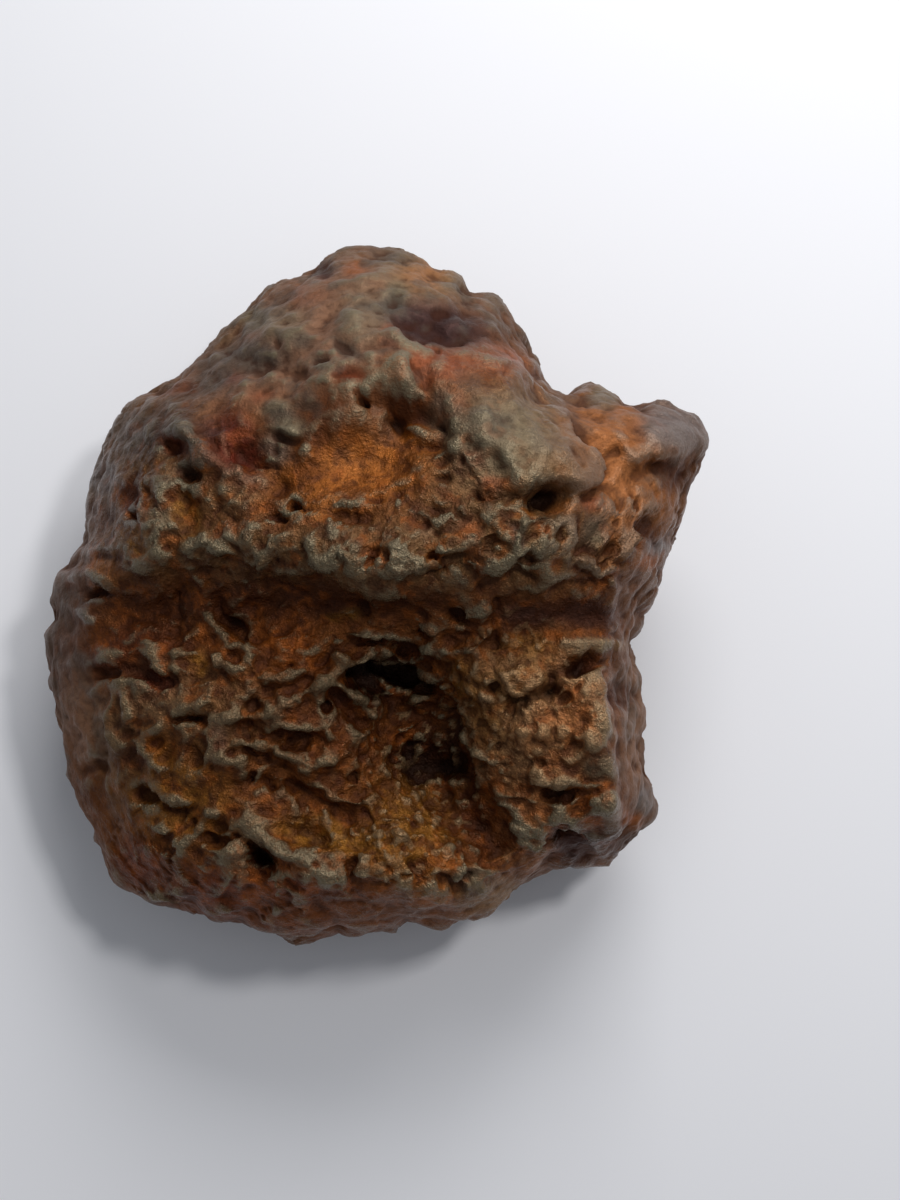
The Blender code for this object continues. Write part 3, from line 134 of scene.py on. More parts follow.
# The height of each kind of fine relief, and the share of the crisp lumps and the pores that the sides have
TEXTURE_HEIGHTS = {"soft": 0.36, "lumps": 0.34, "folds": 0.33, "crumbs": 0.9, "pores": 0.7}
SIDE_SHARE = 0.5

# Steps of evening out that the colours compare the surface with
FINE_EVENING = 12
MIDDLE_EVENING = 60
BROAD_EVENING = 220

# What keeps a logarithm and a division away from 0
LEAST_SQUARE = 1e-9
LEAST_DISTANCE = 1e-6

# The picture: the camera's sensor, the height of what it sees at the plan's level and where its sight starts
SENSOR = 36.0
VIEW_HEIGHT = 150.0
SIGHT_START = 10.0

# The ground: half its side, how far it is below the stone, its colour and its roughness
GROUND_HALF = 1500.0
GROUND_GAP = 0.05
GROUND_COLOUR = (0.86, 0.865, 0.90)
GROUND_ROUGHNESS = 0.8

# The light from all round
ROOM_COLOUR = (0.90, 0.94, 1.0)
ROOM_STRENGTH = 0.27

# Each light's name, size, distance, direction in degrees round and degrees up, power and colour
LIGHTS = [
    ("window", (240.0, 180.0), 360.0, 72.0, 42.0, 0.84, (1.0, 0.99, 0.98)),
    ("lamp", (60.0, 60.0), 450.0, 25.0, 62.0, 0.50, (1.0, 0.985, 0.97)),
]

# How far inside the outline the shoulder starts, by the direction from the plan's centre in degrees round
SHOULDER_WIDTHS = [(-180, 7.0), (-70, 6.5), (-52, 3.2), (-6, 3.2), (6, 6.0), (180, 7.0)]

# The outline in plan, clockwise from the top
OUTLINE = [
    (-2.7, 43.6), (-0.6, 43.2), (2.2, 43.4), (4.0, 43.0), (6.2, 41.3), (9.4, 40.3), (10.4, 39.4),
    (10.4, 38.4),
    (11.7, 37.3), (13.7, 37.6), (14.9, 37.1), (15.5, 35.6), (17.9, 32.5), (18.5, 30.4), (19.7, 29.1),
    (19.6, 28.1),
    (20.1, 26.9), (21.2, 25.6), (22.5, 24.7), (23.9, 24.9), (24.8, 25.9), (26.0, 26.4), (28.7, 25.9),
    (30.0, 25.1),
    (31.0, 24.1), (33.1, 24.0), (34.7, 24.4), (36.5, 24.0), (39.4, 22.5), (40.1, 20.9), (41.1, 19.3),
    (40.6, 18.3),
    (39.7, 17.4), (39.6, 15.6), (38.7, 13.9), (37.2, 10.0), (36.9, 8.1), (37.0, 6.6), (35.7, 3.8),
    (34.5, 0.4),
    (33.7, -1.3), (32.6, -2.1), (32.5, -3.4), (31.0, -5.9), (31.8, -7.1), (32.1, -8.8), (32.9, -13.1),
    (32.7, -17.5),
    (33.6, -22.5), (34.4, -25.6), (34.0, -27.5), (31.9, -30.4), (30.0, -33.1), (28.7, -33.9), (27.1, -33.3),
    (23.5, -33.7), (21.0, -34.1), (18.7, -35.6), (16.9, -36.5), (14.6, -39.1), (13.4, -40.1), (11.2, -40.3),
    (7.5, -41.4), (4.4, -40.3), (2.9, -40.6), (1.9, -41.9), (-1.9, -42.9), (-5.2, -41.5), (-6.9, -42.3),
    (-10.9, -43.7), (-14.0, -42.5), (-17.5, -41.1), (-20.0, -41.1), (-23.1, -39.6), (-25.0, -39.0),
    (-29.4, -38.4),
    (-32.9, -35.5), (-35.3, -31.0), (-37.7, -25.6), (-39.4, -20.9), (-39.8, -16.3), (-41.3, -10.6),
    (-41.4, -8.8),
    (-41.1, -6.9), (-41.5, -5.0), (-40.8, -2.9), (-41.5, -0.9), (-40.0, 2.5), (-38.5, 3.8), (-37.3, 6.9),
    (-37.1, 8.8), (-36.3, 10.6), (-35.2, 15.6), (-34.0, 19.4), (-32.4, 22.5), (-31.2, 24.0), (-29.7, 25.3),
    (-27.7, 25.9), (-24.6, 27.6), (-24.0, 28.6), (-20.6, 32.0), (-16.9, 35.6), (-13.7, 38.6), (-12.1, 39.4),
    (-10.7, 39.2), (-9.4, 40.6), (-5.6, 43.1),
]

# Height of the outline's edge, at places round the plan
EDGE_HEIGHTS = [
    (0, 43, 15), (15, 36, 16), (22, 25, 17), (30, 25, 19), (41, 19, 22), (37, 8, 18), (32, -6, 15),
    (33, -20, 12),
    (34, -26, 11), (28, -34, 11), (17, -37, 13), (6, -41, 12), (-11, -43, 11), (-25, -39, 12), (-36, -29, 13),
    (-41, -9, 14), (-38, 5, 15), (-34, 19, 15), (-24, 28, 14), (-12, 39, 14),
]

# Height of the upper face before its shoulder is rounded off, at places in plan
FACE_HEIGHTS = [
    # the far slope
    (-3, 41, 26), (6, 39, 27), (-12, 35, 27), (14, 34, 30), (-2, 35, 31), (10, 29, 35), (-8, 30, 34),
    (-20, 28, 29),
    (0, 28, 37), (17, 27, 36),
    # the domed upper mass and its left shoulder
    (8, 23, 39.5), (16, 20, 41), (22, 18, 40), (12, 13, 40.5), (26, 15, 38), (0, 14, 38), (-8, 20, 37),
    (-16, 19, 34),
    (-14, 12, 36), (-24, 20, 32), (-30, 20, 28), (-24, 12, 33), (-32, 12, 28), (-6, 8, 39),
    # the crest
    (-39, 1, 23), (-30, 5, 30), (-22, 6, 34), (-14, 6, 36.5), (-7, 4, 38.5), (0, 2.5, 40), (8, 4, 41),
    (15, 4, 41),
    (22, 3, 39), (29, 1, 35), (33, 2, 31),
    # the lobe behind the notch
    (25, 24, 30), (31, 21, 32), (37, 20, 32), (30, 13, 34), (35, 12, 31), (27, 8, 37), (33, 6, 33),
    # the foot of the crest, in shadow
    (-38, -5, 22), (-31, -1, 25), (-23, -1, 28), (-14, -1, 30), (-6, -2, 31), (2, -3, 33), (10, -3, 34),
    (17, -2, 34),
    (24, -2, 33), (30, -3, 29),
    # the wrinkled left of the basin
    (-36, -14, 22), (-30, -10, 26), (-22, -9, 29), (-13, -8, 31), (-5, -8, 32), (-28, -18, 26),
    (-20, -17, 29),
    (-10, -16, 30), (-36, -24, 19), (-28, -27, 24), (-20, -26, 27), (-12, -24, 28.5), (-4, -20, 28),
    # the deep pit and its surroundings
    (3, -11, 26), (6, -20, 23), (10, -13, 29), (14, -8, 33), (18, -13, 32), (14, -20, 28), (22, -8, 32),
    (25, -15, 32),
    (20, -22, 30), (26, -22, 30), (28, -11, 31), (28.4, -16, 31), (28.8, -21, 30.5), (28.6, -27, 29),
    # the front of the basin and its rim
    (-8, -29, 27), (0, -27, 27), (6, -30, 27), (12, -26, 25), (14, -30, 25), (19, -28, 27), (26, -28, 28),
    (12, -36, 27), (4, -36.5, 29), (-4, -35, 29), (-12, -34, 28), (-20, -34, 26), (-28, -34, 21),
    (-10, -40, 23),
    (2, -40, 23), (21, -32, 24),
    # the ledge outside the right rim
    (31.2, -11, 22), (31.3, -16, 22), (31.8, -21, 21), (32.2, -26, 21), (31, -30, 20), (28, -33, 19),
    (24, -33, 20),
]

# Ridges of the upper side, and grooves as ridges of negative height: the height, the width of the side that
# is to the left of the line's run and of the one to its right, and the line in plan
RIDGES = [
    # the far slope
    (-0.7, 0.9, 0.9, [(-20, 30.5), (-17, 30), (-14, 29.6), (-12, 28.4)]),
    (-0.6, 0.5, 0.5, [(-5.5, 31.6), (-4, 30.8), (-2.5, 29.7)]),
    (-0.6, 0.5, 0.5, [(-10.7, 27.8), (-10.7, 26.3)]),
    (-0.6, 0.4, 0.4, [(4.2, 28.1), (6, 26.8)]),
    (0.7, 0.8, 1.2, [(1.8, 32.6), (2.3, 30.8), (3, 29.2)]),
    (0.6, 0.8, 0.8, [(8.2, 37.2), (9, 36), (9.4, 34.8)]),
    # the orange pocket: its lip, its slot and the lines on its floor
    (0.5, 3.0, 0.9, [(-1.3, 26.6), (1.5, 26.6), (3.8, 26.2), (5.8, 25.3), (7.7, 23.7), (8.9, 21.4),
    (9.9, 19.2)]),
    (-1.6, 0.9, 1.2, [(-0.6, 25.2), (1.6, 25.2), (3.8, 24.7), (5.4, 23.8), (6.8, 22.2), (7.6, 20.2)]),
    (-1.2, 0.6, 0.6, [(1.4, 24), (1.3, 20.8)]),
    (-0.8, 0.5, 0.5, [(0.3, 19.5), (3, 19.4), (6.8, 19.2)]),
    (0.5, 0.35, 0.35, [(-9.5, 9.6), (-8, 9.8), (-6.2, 9.4)]),
    (-0.6, 0.4, 0.4, [(-9.5, 10.3), (-6, 10), (-4, 9.6), (-2, 9.8)]),
    # left of the pocket
    (1.0, 0.8, 0.6, [(-25.4, 22), (-24.4, 20.2), (-23.2, 18.5), (-22.2, 16.8)]),
    (0.8, 0.5, 0.4, [(-21.6, 17.3), (-20.6, 16), (-19.2, 14.5)]),
    (0.8, 0.6, 0.5, [(-19.4, 19), (-18.8, 17.2), (-17.6, 15.2)]),
    (0.6, 0.6, 0.5, [(-33, 15.4), (-31.7, 14.5)]),
    (0.6, 0.5, 0.6, [(-29, 12.2), (-28.9, 10), (-28.8, 7.6)]),
    (0.8, 0.7, 0.6, [(-27.3, 13.6), (-27, 10.4), (-27.4, 7)]),
    (0.5, 0.5, 0.4, [(-26, 10.4), (-25.9, 8)]),
    (0.6, 0.7, 0.6, [(-36.8, 5.6), (-34.5, 6.2), (-32.6, 6)]),
    # the right upper mass: its overhanging lip, the creases under it and the line that leads to its pit
    (1.5, 0.6, 3.0, [(21.6, 25.2), (22.6, 23.2), (23.6, 21.2), (24.5, 19.2), (26.2, 17.8), (27.5, 15.8),
    (27.2, 14),
                     (25.4, 12.9)]),
    (-1.0, 1.2, 0.6, [(22.9, 25), (23.8, 23.3), (24.9, 21.2), (25.7, 19.8), (27.4, 18.4), (28.8, 16),
    (28.4, 13.6)]),
    (-1.2, 0.6, 0.6, [(21.8, 13.4), (23.6, 12.9), (25.8, 12.8)]),
    (-0.9, 0.5, 0.35, [(23.9, 22.2), (24.9, 20.4), (26.8, 18.8), (28.3, 16.4), (28.1, 13.8), (26.4, 12.2)]),
    (-1.0, 0.45, 0.45, [(12.7, 12.4), (15.5, 12.7), (17.5, 12.7), (19.4, 13)]),
    (0.9, 0.6, 0.6, [(17.9, 8.7), (17.2, 7), (16.4, 4.6)]),
    (0.5, 0.35, 0.35, [(19.8, 9.8), (21, 9.7), (21.7, 8.6)]),
    # the lobe behind the notch
    (-1.7, 1.2, 1.2, [(34.2, 15.9), (36.2, 15.9), (38.2, 14.5)]),
    (0.4, 1.5, 0.8, [(33, 17.6), (35.5, 18), (38, 18.9), (40.3, 19.8)]),
    (-0.7, 0.5, 0.5, [(25.4, 5.6), (26.4, 6.3), (27.4, 6.7)]),
    (-0.9, 0.5, 0.5, [(27.2, 6), (28.2, 5.4), (29.2, 6)]),
    (-0.8, 0.5, 0.5, [(28.5, 3.8), (30, 4.3), (31, 3.8)]),
    (-0.6, 0.4, 0.4, [(32.7, 6), (32.8, 5)]),
    (-1.0, 0.7, 0.7, [(24.5, 3.4), (25.6, 2.2), (26.8, 1.4)]),
    (-0.6, 0.5, 0.5, [(28.8, 1), (29.3, 2), (30, 2.4)]),
    (0.6, 0.5, 0.6, [(32, 9.6), (31.4, 8), (31.6, 6.5)]),
    # the crest
    (0.9, 1.0, 0.6, [(-21.5, 6.3), (-20, 5.9), (-17.5, 5.2), (-15, 4.6)]),
    (0.8, 0.8, 0.6, [(-31, 3.8), (-28.8, 4.7), (-26, 5.6), (-23.5, 5.8)]),
    (0.6, 0.6, 0.6, [(-40, 1.4), (-38.4, 2.6), (-36, 2.9), (-34, 1.9)]),
    (0.6, 0.6, 0.5, [(-10, 2.9), (-8.4, 3.2), (-7, 3.4)]),
    (0.7, 0.8, 0.5, [(-7.2, 4.4), (-5, 4.9), (-3.4, 5.3)]),
    (0.8, 1.2, 0.5, [(-4.2, 1.7), (-2.2, 1.2), (-0.4, 0.5), (1, 0.2)]),
    (0.8, 0.9, 0.6, [(1.4, 6), (2.1, 4), (3, 3), (4.2, 3.2)]),
    (-0.9, 0.5, 0.5, [(4.8, 2.6), (6.4, 2.2), (8, 2.4)]),
    (-0.6, 0.5, 0.5, [(8.2, 3.6), (9.6, 4.4), (10.6, 4.9)]),
    (-0.9, 0.5, 0.5, [(12.8, 1.4), (14.5, 1.5), (16, 1.8), (17.4, 2.7), (19.2, 2.4)]),
    (-0.8, 0.5, 0.5, [(22.3, 0.7), (24, 1), (25.6, 0.6), (29, 0.5)]),
    # the left of the basin
    (-1.5, 0.8, 0.7, [(-25.6, -0.8), (-25.3, -2.2), (-25.4, -3.6)]),
    (-1.7, 0.8, 0.7, [(-20.2, -1.8), (-18.6, -3), (-17.1, -4.6)]),
    (0.6, 0.4, 0.4, [(-37.4, -1.6), (-36.4, -2.3), (-35.4, -2.9)]),
    (0.6, 0.45, 0.45, [(-21, -2.8), (-20.3, -4.6), (-19, -5.6), (-17.6, -5.7)]),
    (0.5, 0.4, 0.4, [(-32, -5.9), (-30.6, -5.7), (-29, -6)]),
    (0.9, 0.6, 0.45, [(-35.2, -8.2), (-31.7, -7.7), (-30, -7.2), (-28.5, -8.4), (-27, -9.5), (-25.8, -9.6)]),
    (0.5, 0.4, 0.4, [(-28, -7), (-26.5, -7.6), (-25.4, -7.4), (-23.8, -7.1)]),
    (0.7, 0.5, 0.5, [(-32.6, -10.4), (-31.3, -10.7), (-30.2, -11.3), (-29.4, -12.3)]),
    (-0.9, 0.8, 0.8, [(-35, -9.6), (-32.5, -9.4), (-29.5, -9.6), (-26.5, -10.4)]),
    (0.8, 0.6, 0.5, [(-32, -11), (-31.6, -13.4), (-31, -15.9)]),
    (0.7, 0.5, 0.5, [(-32.9, -17.2), (-32.2, -18), (-31.8, -18.8)]),
    (0.6, 0.4, 0.4, [(-30.1, -18.2), (-29.4, -19.6), (-28.3, -20.5), (-27.1, -21.6)]),
    (0.5, 0.35, 0.35, [(-29.5, -18), (-28.2, -17.2), (-27.4, -16.7)]),
    (0.8, 0.7, 0.5, [(-25.3, -14.9), (-23.8, -13.9), (-22.4, -13.2), (-21, -13)]),
    (0.6, 0.4, 0.4, [(-26.3, -15.9), (-25.4, -16.6), (-23.8, -16.9)]),
    (-0.7, 0.5, 0.5, [(-25.5, -15.6), (-23.5, -15.5), (-21.8, -15.8)]),
    # the middle of the basin
    (0.8, 0.5, 0.45, [(-21, -8.2), (-19.8, -9.3), (-18.3, -9.9), (-17.1, -9.7)]),
    (0.8, 0.4, 0.4, [(-16.5, -5.5), (-16.8, -6.3), (-16.4, -7.2), (-15.6, -7.8)]),
    (0.5, 0.35, 0.35, [(-16, -6.2), (-15, -6.3), (-14.6, -7.1), (-15.1, -8.2)]),
    (0.9, 0.6, 0.4, [(-16.3, -8.9), (-15.2, -9.6), (-14.2, -10), (-12.5, -10), (-11, -9.9), (-9.6, -9.4)]),
    (-1.0, 0.5, 0.5, [(-13.4, -8.4), (-12, -8.7), (-10.9, -8.7)]),
    (-0.9, 0.8, 0.8, [(-14.5, -10.9), (-12, -11), (-9, -10.4)]),
    (0.9, 0.6, 0.4, [(-6.5, -4.7), (-4, -5), (0, -5.2), (2.5, -5.8), (5, -6.5), (7.5, -6.9), (8.7, -7.4)]),
    (-1.5, 0.7, 0.8, [(-6, -6), (-3, -6.3), (0, -6.3), (3, -6.7)]),
    (0.5, 0.4, 0.4, [(-6, -7.7), (-4, -7.9), (-2.2, -9), (-1.4, -8.2), (0, -7.2)]),
    (0.6, 0.4, 0.4, [(0.4, -7.5), (1.8, -8.4), (2.8, -9.1), (4, -8.9)]),
    (0.6, 0.4, 0.4, [(-6.9, -10.3), (-5.6, -11), (-4.6, -11.9), (-3.6, -12.8)]),
    (-0.9, 0.6, 0.6, [(-5.6, -12.2), (-4.4, -13.6), (-3.2, -15), (-1.8, -16.2)]),
    (0.6, 0.4, 0.4, [(-21.9, -17.5), (-21.3, -16.2), (-20.6, -15.3), (-19.4, -14.7)]),
    (0.9, 0.6, 0.45, [(-18.8, -14.9), (-17, -15.3), (-15.5, -15.4), (-14, -14.9), (-12.6, -14.2),
    (-11.5, -13.2),
                      (-10, -12.3), (-8.3, -11.4), (-7.2, -11.5)]),
    (0.8, 0.5, 0.4, [(-14.7, -15.9), (-13, -16.6), (-11.5, -16.7), (-9.5, -16.8), (-7.7, -17.1)]),
    (-1.4, 0.8, 0.9, [(-16.5, -16.3), (-14, -17.3), (-10.5, -17.9), (-7, -18.2)]),
    (0.7, 0.45, 0.4, [(-6.2, -17.5), (-5, -18.4), (-3.8, -18.3), (-2, -17.3), (-0.9, -17.2)]),
    (0.7, 0.9, 0.9, [(-19.7, -16), (-20.1, -18), (-20.5, -19.8)]),
    (0.6, 0.5, 0.5, [(-20.3, -19.8), (-19.6, -20.8), (-18.4, -21), (-17.4, -20.2)]),
    (0.6, 0.5, 0.4, [(-17.9, -18.2), (-16.3, -18.6), (-14.8, -19.1)]),
    (-1.2, 0.8, 0.8, [(-16.6, -19.6), (-14.6, -20.6), (-12.2, -22)]),
    (0.8, 0.8, 0.6, [(-12.6, -19.8), (-10.2, -20.8), (-8, -21.5), (-6.4, -20.9)]),
    # the front of the basin
    (-1.7, 1.0, 1.0, [(-13, -22.2), (-9.6, -24.2), (-6.8, -25.9), (-4.2, -27.1), (-1.8, -27.4)]),
    (0.9, 0.5, 0.4, [(-7.9, -24.1), (-6, -25.3), (-4.4, -26.2), (-3, -26.7), (-1.8, -26.1)]),
    (1.0, 0.7, 0.6, [(-14.2, -30.4), (-13, -31.5), (-12, -32.9), (-10.9, -33.8), (-9.4, -34.5),
    (-7.7, -34.3)]),
    (0.7, 0.5, 0.5, [(-7.1, -34.4), (-5.6, -35.4), (-4.6, -35.9)]),
    (0.5, 0.5, 0.4, [(-11, -32.9), (-9, -33.3), (-7.6, -32.2)]),
    (-1.0, 0.4, 0.4, [(-3.6, -32.9), (-3.9, -34.4), (-3.8, -35.8)]),
    (-1.2, 0.6, 0.6, [(-27.3, -26.2), (-25.2, -26.7), (-23.2, -26.6)]),
    (0.6, 0.4, 0.4, [(-26.9, -25.1), (-25.6, -25.6), (-24, -25.8)]),
    (-0.8, 0.5, 0.5, [(-21.2, -30.6), (-19.4, -30.7), (-17.6, -30.2)]),
    (0.7, 0.6, 0.5, [(-21.2, -32), (-20, -32.4), (-18.7, -32)]),
    (-0.8, 0.6, 0.5, [(-17.4, -23.8), (-15, -24), (-13.2, -24.5)]),
    (0.6, 0.5, 0.5, [(-28.2, -37.6), (-26.8, -37), (-25.2, -36.6)]),
    (0.6, 0.5, 0.5, [(-21.5, -38.9), (-19, -39), (-17, -38.9)]),
    (0.6, 0.5, 0.5, [(-1.6, -27), (-0.6, -28.8), (0, -30.2)]),
    (0.5, 0.5, 0.4, [(2.3, -30.3), (2, -31.8), (2.3, -33.3)]),
    (0.5, 0.5, 0.5, [(3, -30.6), (4.9, -30.3)]),
    (-1.5, 0.5, 0.5, [(4.6, -33), (5, -34.4), (4.7, -35.9)]),
    (0.8, 0.5, 0.5, [(12.7, -34.9), (14.6, -34.5)]),
    (-1.0, 0.5, 0.4, [(8.4, -35.9), (9.5, -36.5)]),
    (0.7, 0.9, 0.6, [(4.6, -37.9), (7, -38.4), (10.2, -38.3)]),
    (-0.8, 0.6, 0.6, [(-7.4, -39.6), (-6.4, -40.8), (-5.6, -42.2)]),
    (0.6, 0.6, 0.6, [(-9.4, -40), (-8.2, -40.8), (-7.6, -42)]),
    # the right of the basin
    (0.5, 0.4, 0.4, [(4.1, -2.3), (4.9, -3.1), (6.2, -3.7)]),
    (0.6, 0.5, 0.5, [(6.5, -3.2), (7.3, -4.1), (7, -5.2), (6.2, -6.2)]),
    (0.7, 0.5, 0.5, [(10.7, -2.7), (12, -2.3), (13, -1.2)]),
    (0.9, 0.6, 0.6, [(13.2, -0.8), (13.8, -3), (13.8, -5), (12.5, -5.9), (11, -7), (10, -8.3)]),
    (-0.9, 0.35, 0.35, [(14.4, -0.8), (14.5, -3.5), (14.2, -6)]),
    (0.6, 0.5, 0.5, [(5, -10.7), (6.4, -11.2)]),
    (0.9, 0.8, 0.6, [(22.8, -6.3), (25, -6.6), (27, -6.5), (28.6, -6.1), (30, -6.2)]),
    (0.7, 0.5, 0.6, [(28.9, -4), (30.5, -3.3), (32.4, -2.7)]),
    (-1.0, 0.5, 0.5, [(14.4, -11.9), (16, -12.9), (18, -12.9), (20.8, -12)]),
    (-0.8, 0.4, 0.4, [(21.3, -9.8), (21.2, -12.2)]),
    (0.6, 0.5, 0.5, [(10.4, -18.8), (12, -19.8), (13.4, -20.6)]),
    (0.7, 0.8, 0.8, [(27.4, -15.3), (28, -16.6), (28.7, -17.8)]),
    (-2.2, 1.5, 1.5, [(8.4, -24.2), (10.2, -26.2), (12, -27.8), (13.4, -30), (14.6, -31.4)]),
    (0.5, 0.5, 0.45, [(15, -24.6), (17.4, -25.2), (19.6, -26.3)]),
    (0.5, 0.5, 0.45, [(14.8, -26.4), (16.8, -27), (18.6, -28.2)]),
    (0.5, 0.5, 0.45, [(16.9, -28.8), (18.8, -29.6), (20.8, -29)]),
    (0.5, 0.5, 0.45, [(17.4, -31), (19.3, -31.8), (21.4, -31.2)]),
    # the right rim
    (1.2, 0.6, 1.1, [(28.2, -10.6), (28, -12), (28.5, -14), (29, -16), (29.6, -18), (29.9, -20.5),
    (29.3, -23),
                     (28.8, -25)]),
    (1.0, 0.6, 0.9, [(28.7, -25.4), (29.5, -27.4), (29.5, -29.2), (29.9, -31)]),
    (-0.9, 0.6, 0.6, [(23.8, -24.6), (26, -25), (28.6, -24.3)]),
    (0.6, 0.6, 0.5, [(19.2, -23.6), (21, -23), (23.4, -23.4), (24.8, -24)]),
    (0.6, 0.5, 0.4, [(22.1, -27), (23.8, -27.6)]),
    (0.6, 0.5, 0.4, [(21.8, -28), (23.4, -28.4), (24.8, -29)]),
    (0.6, 0.5, 0.5, [(23.6, -29.7), (25.2, -29.4), (26.4, -30.2), (26.8, -31.6)]),
]

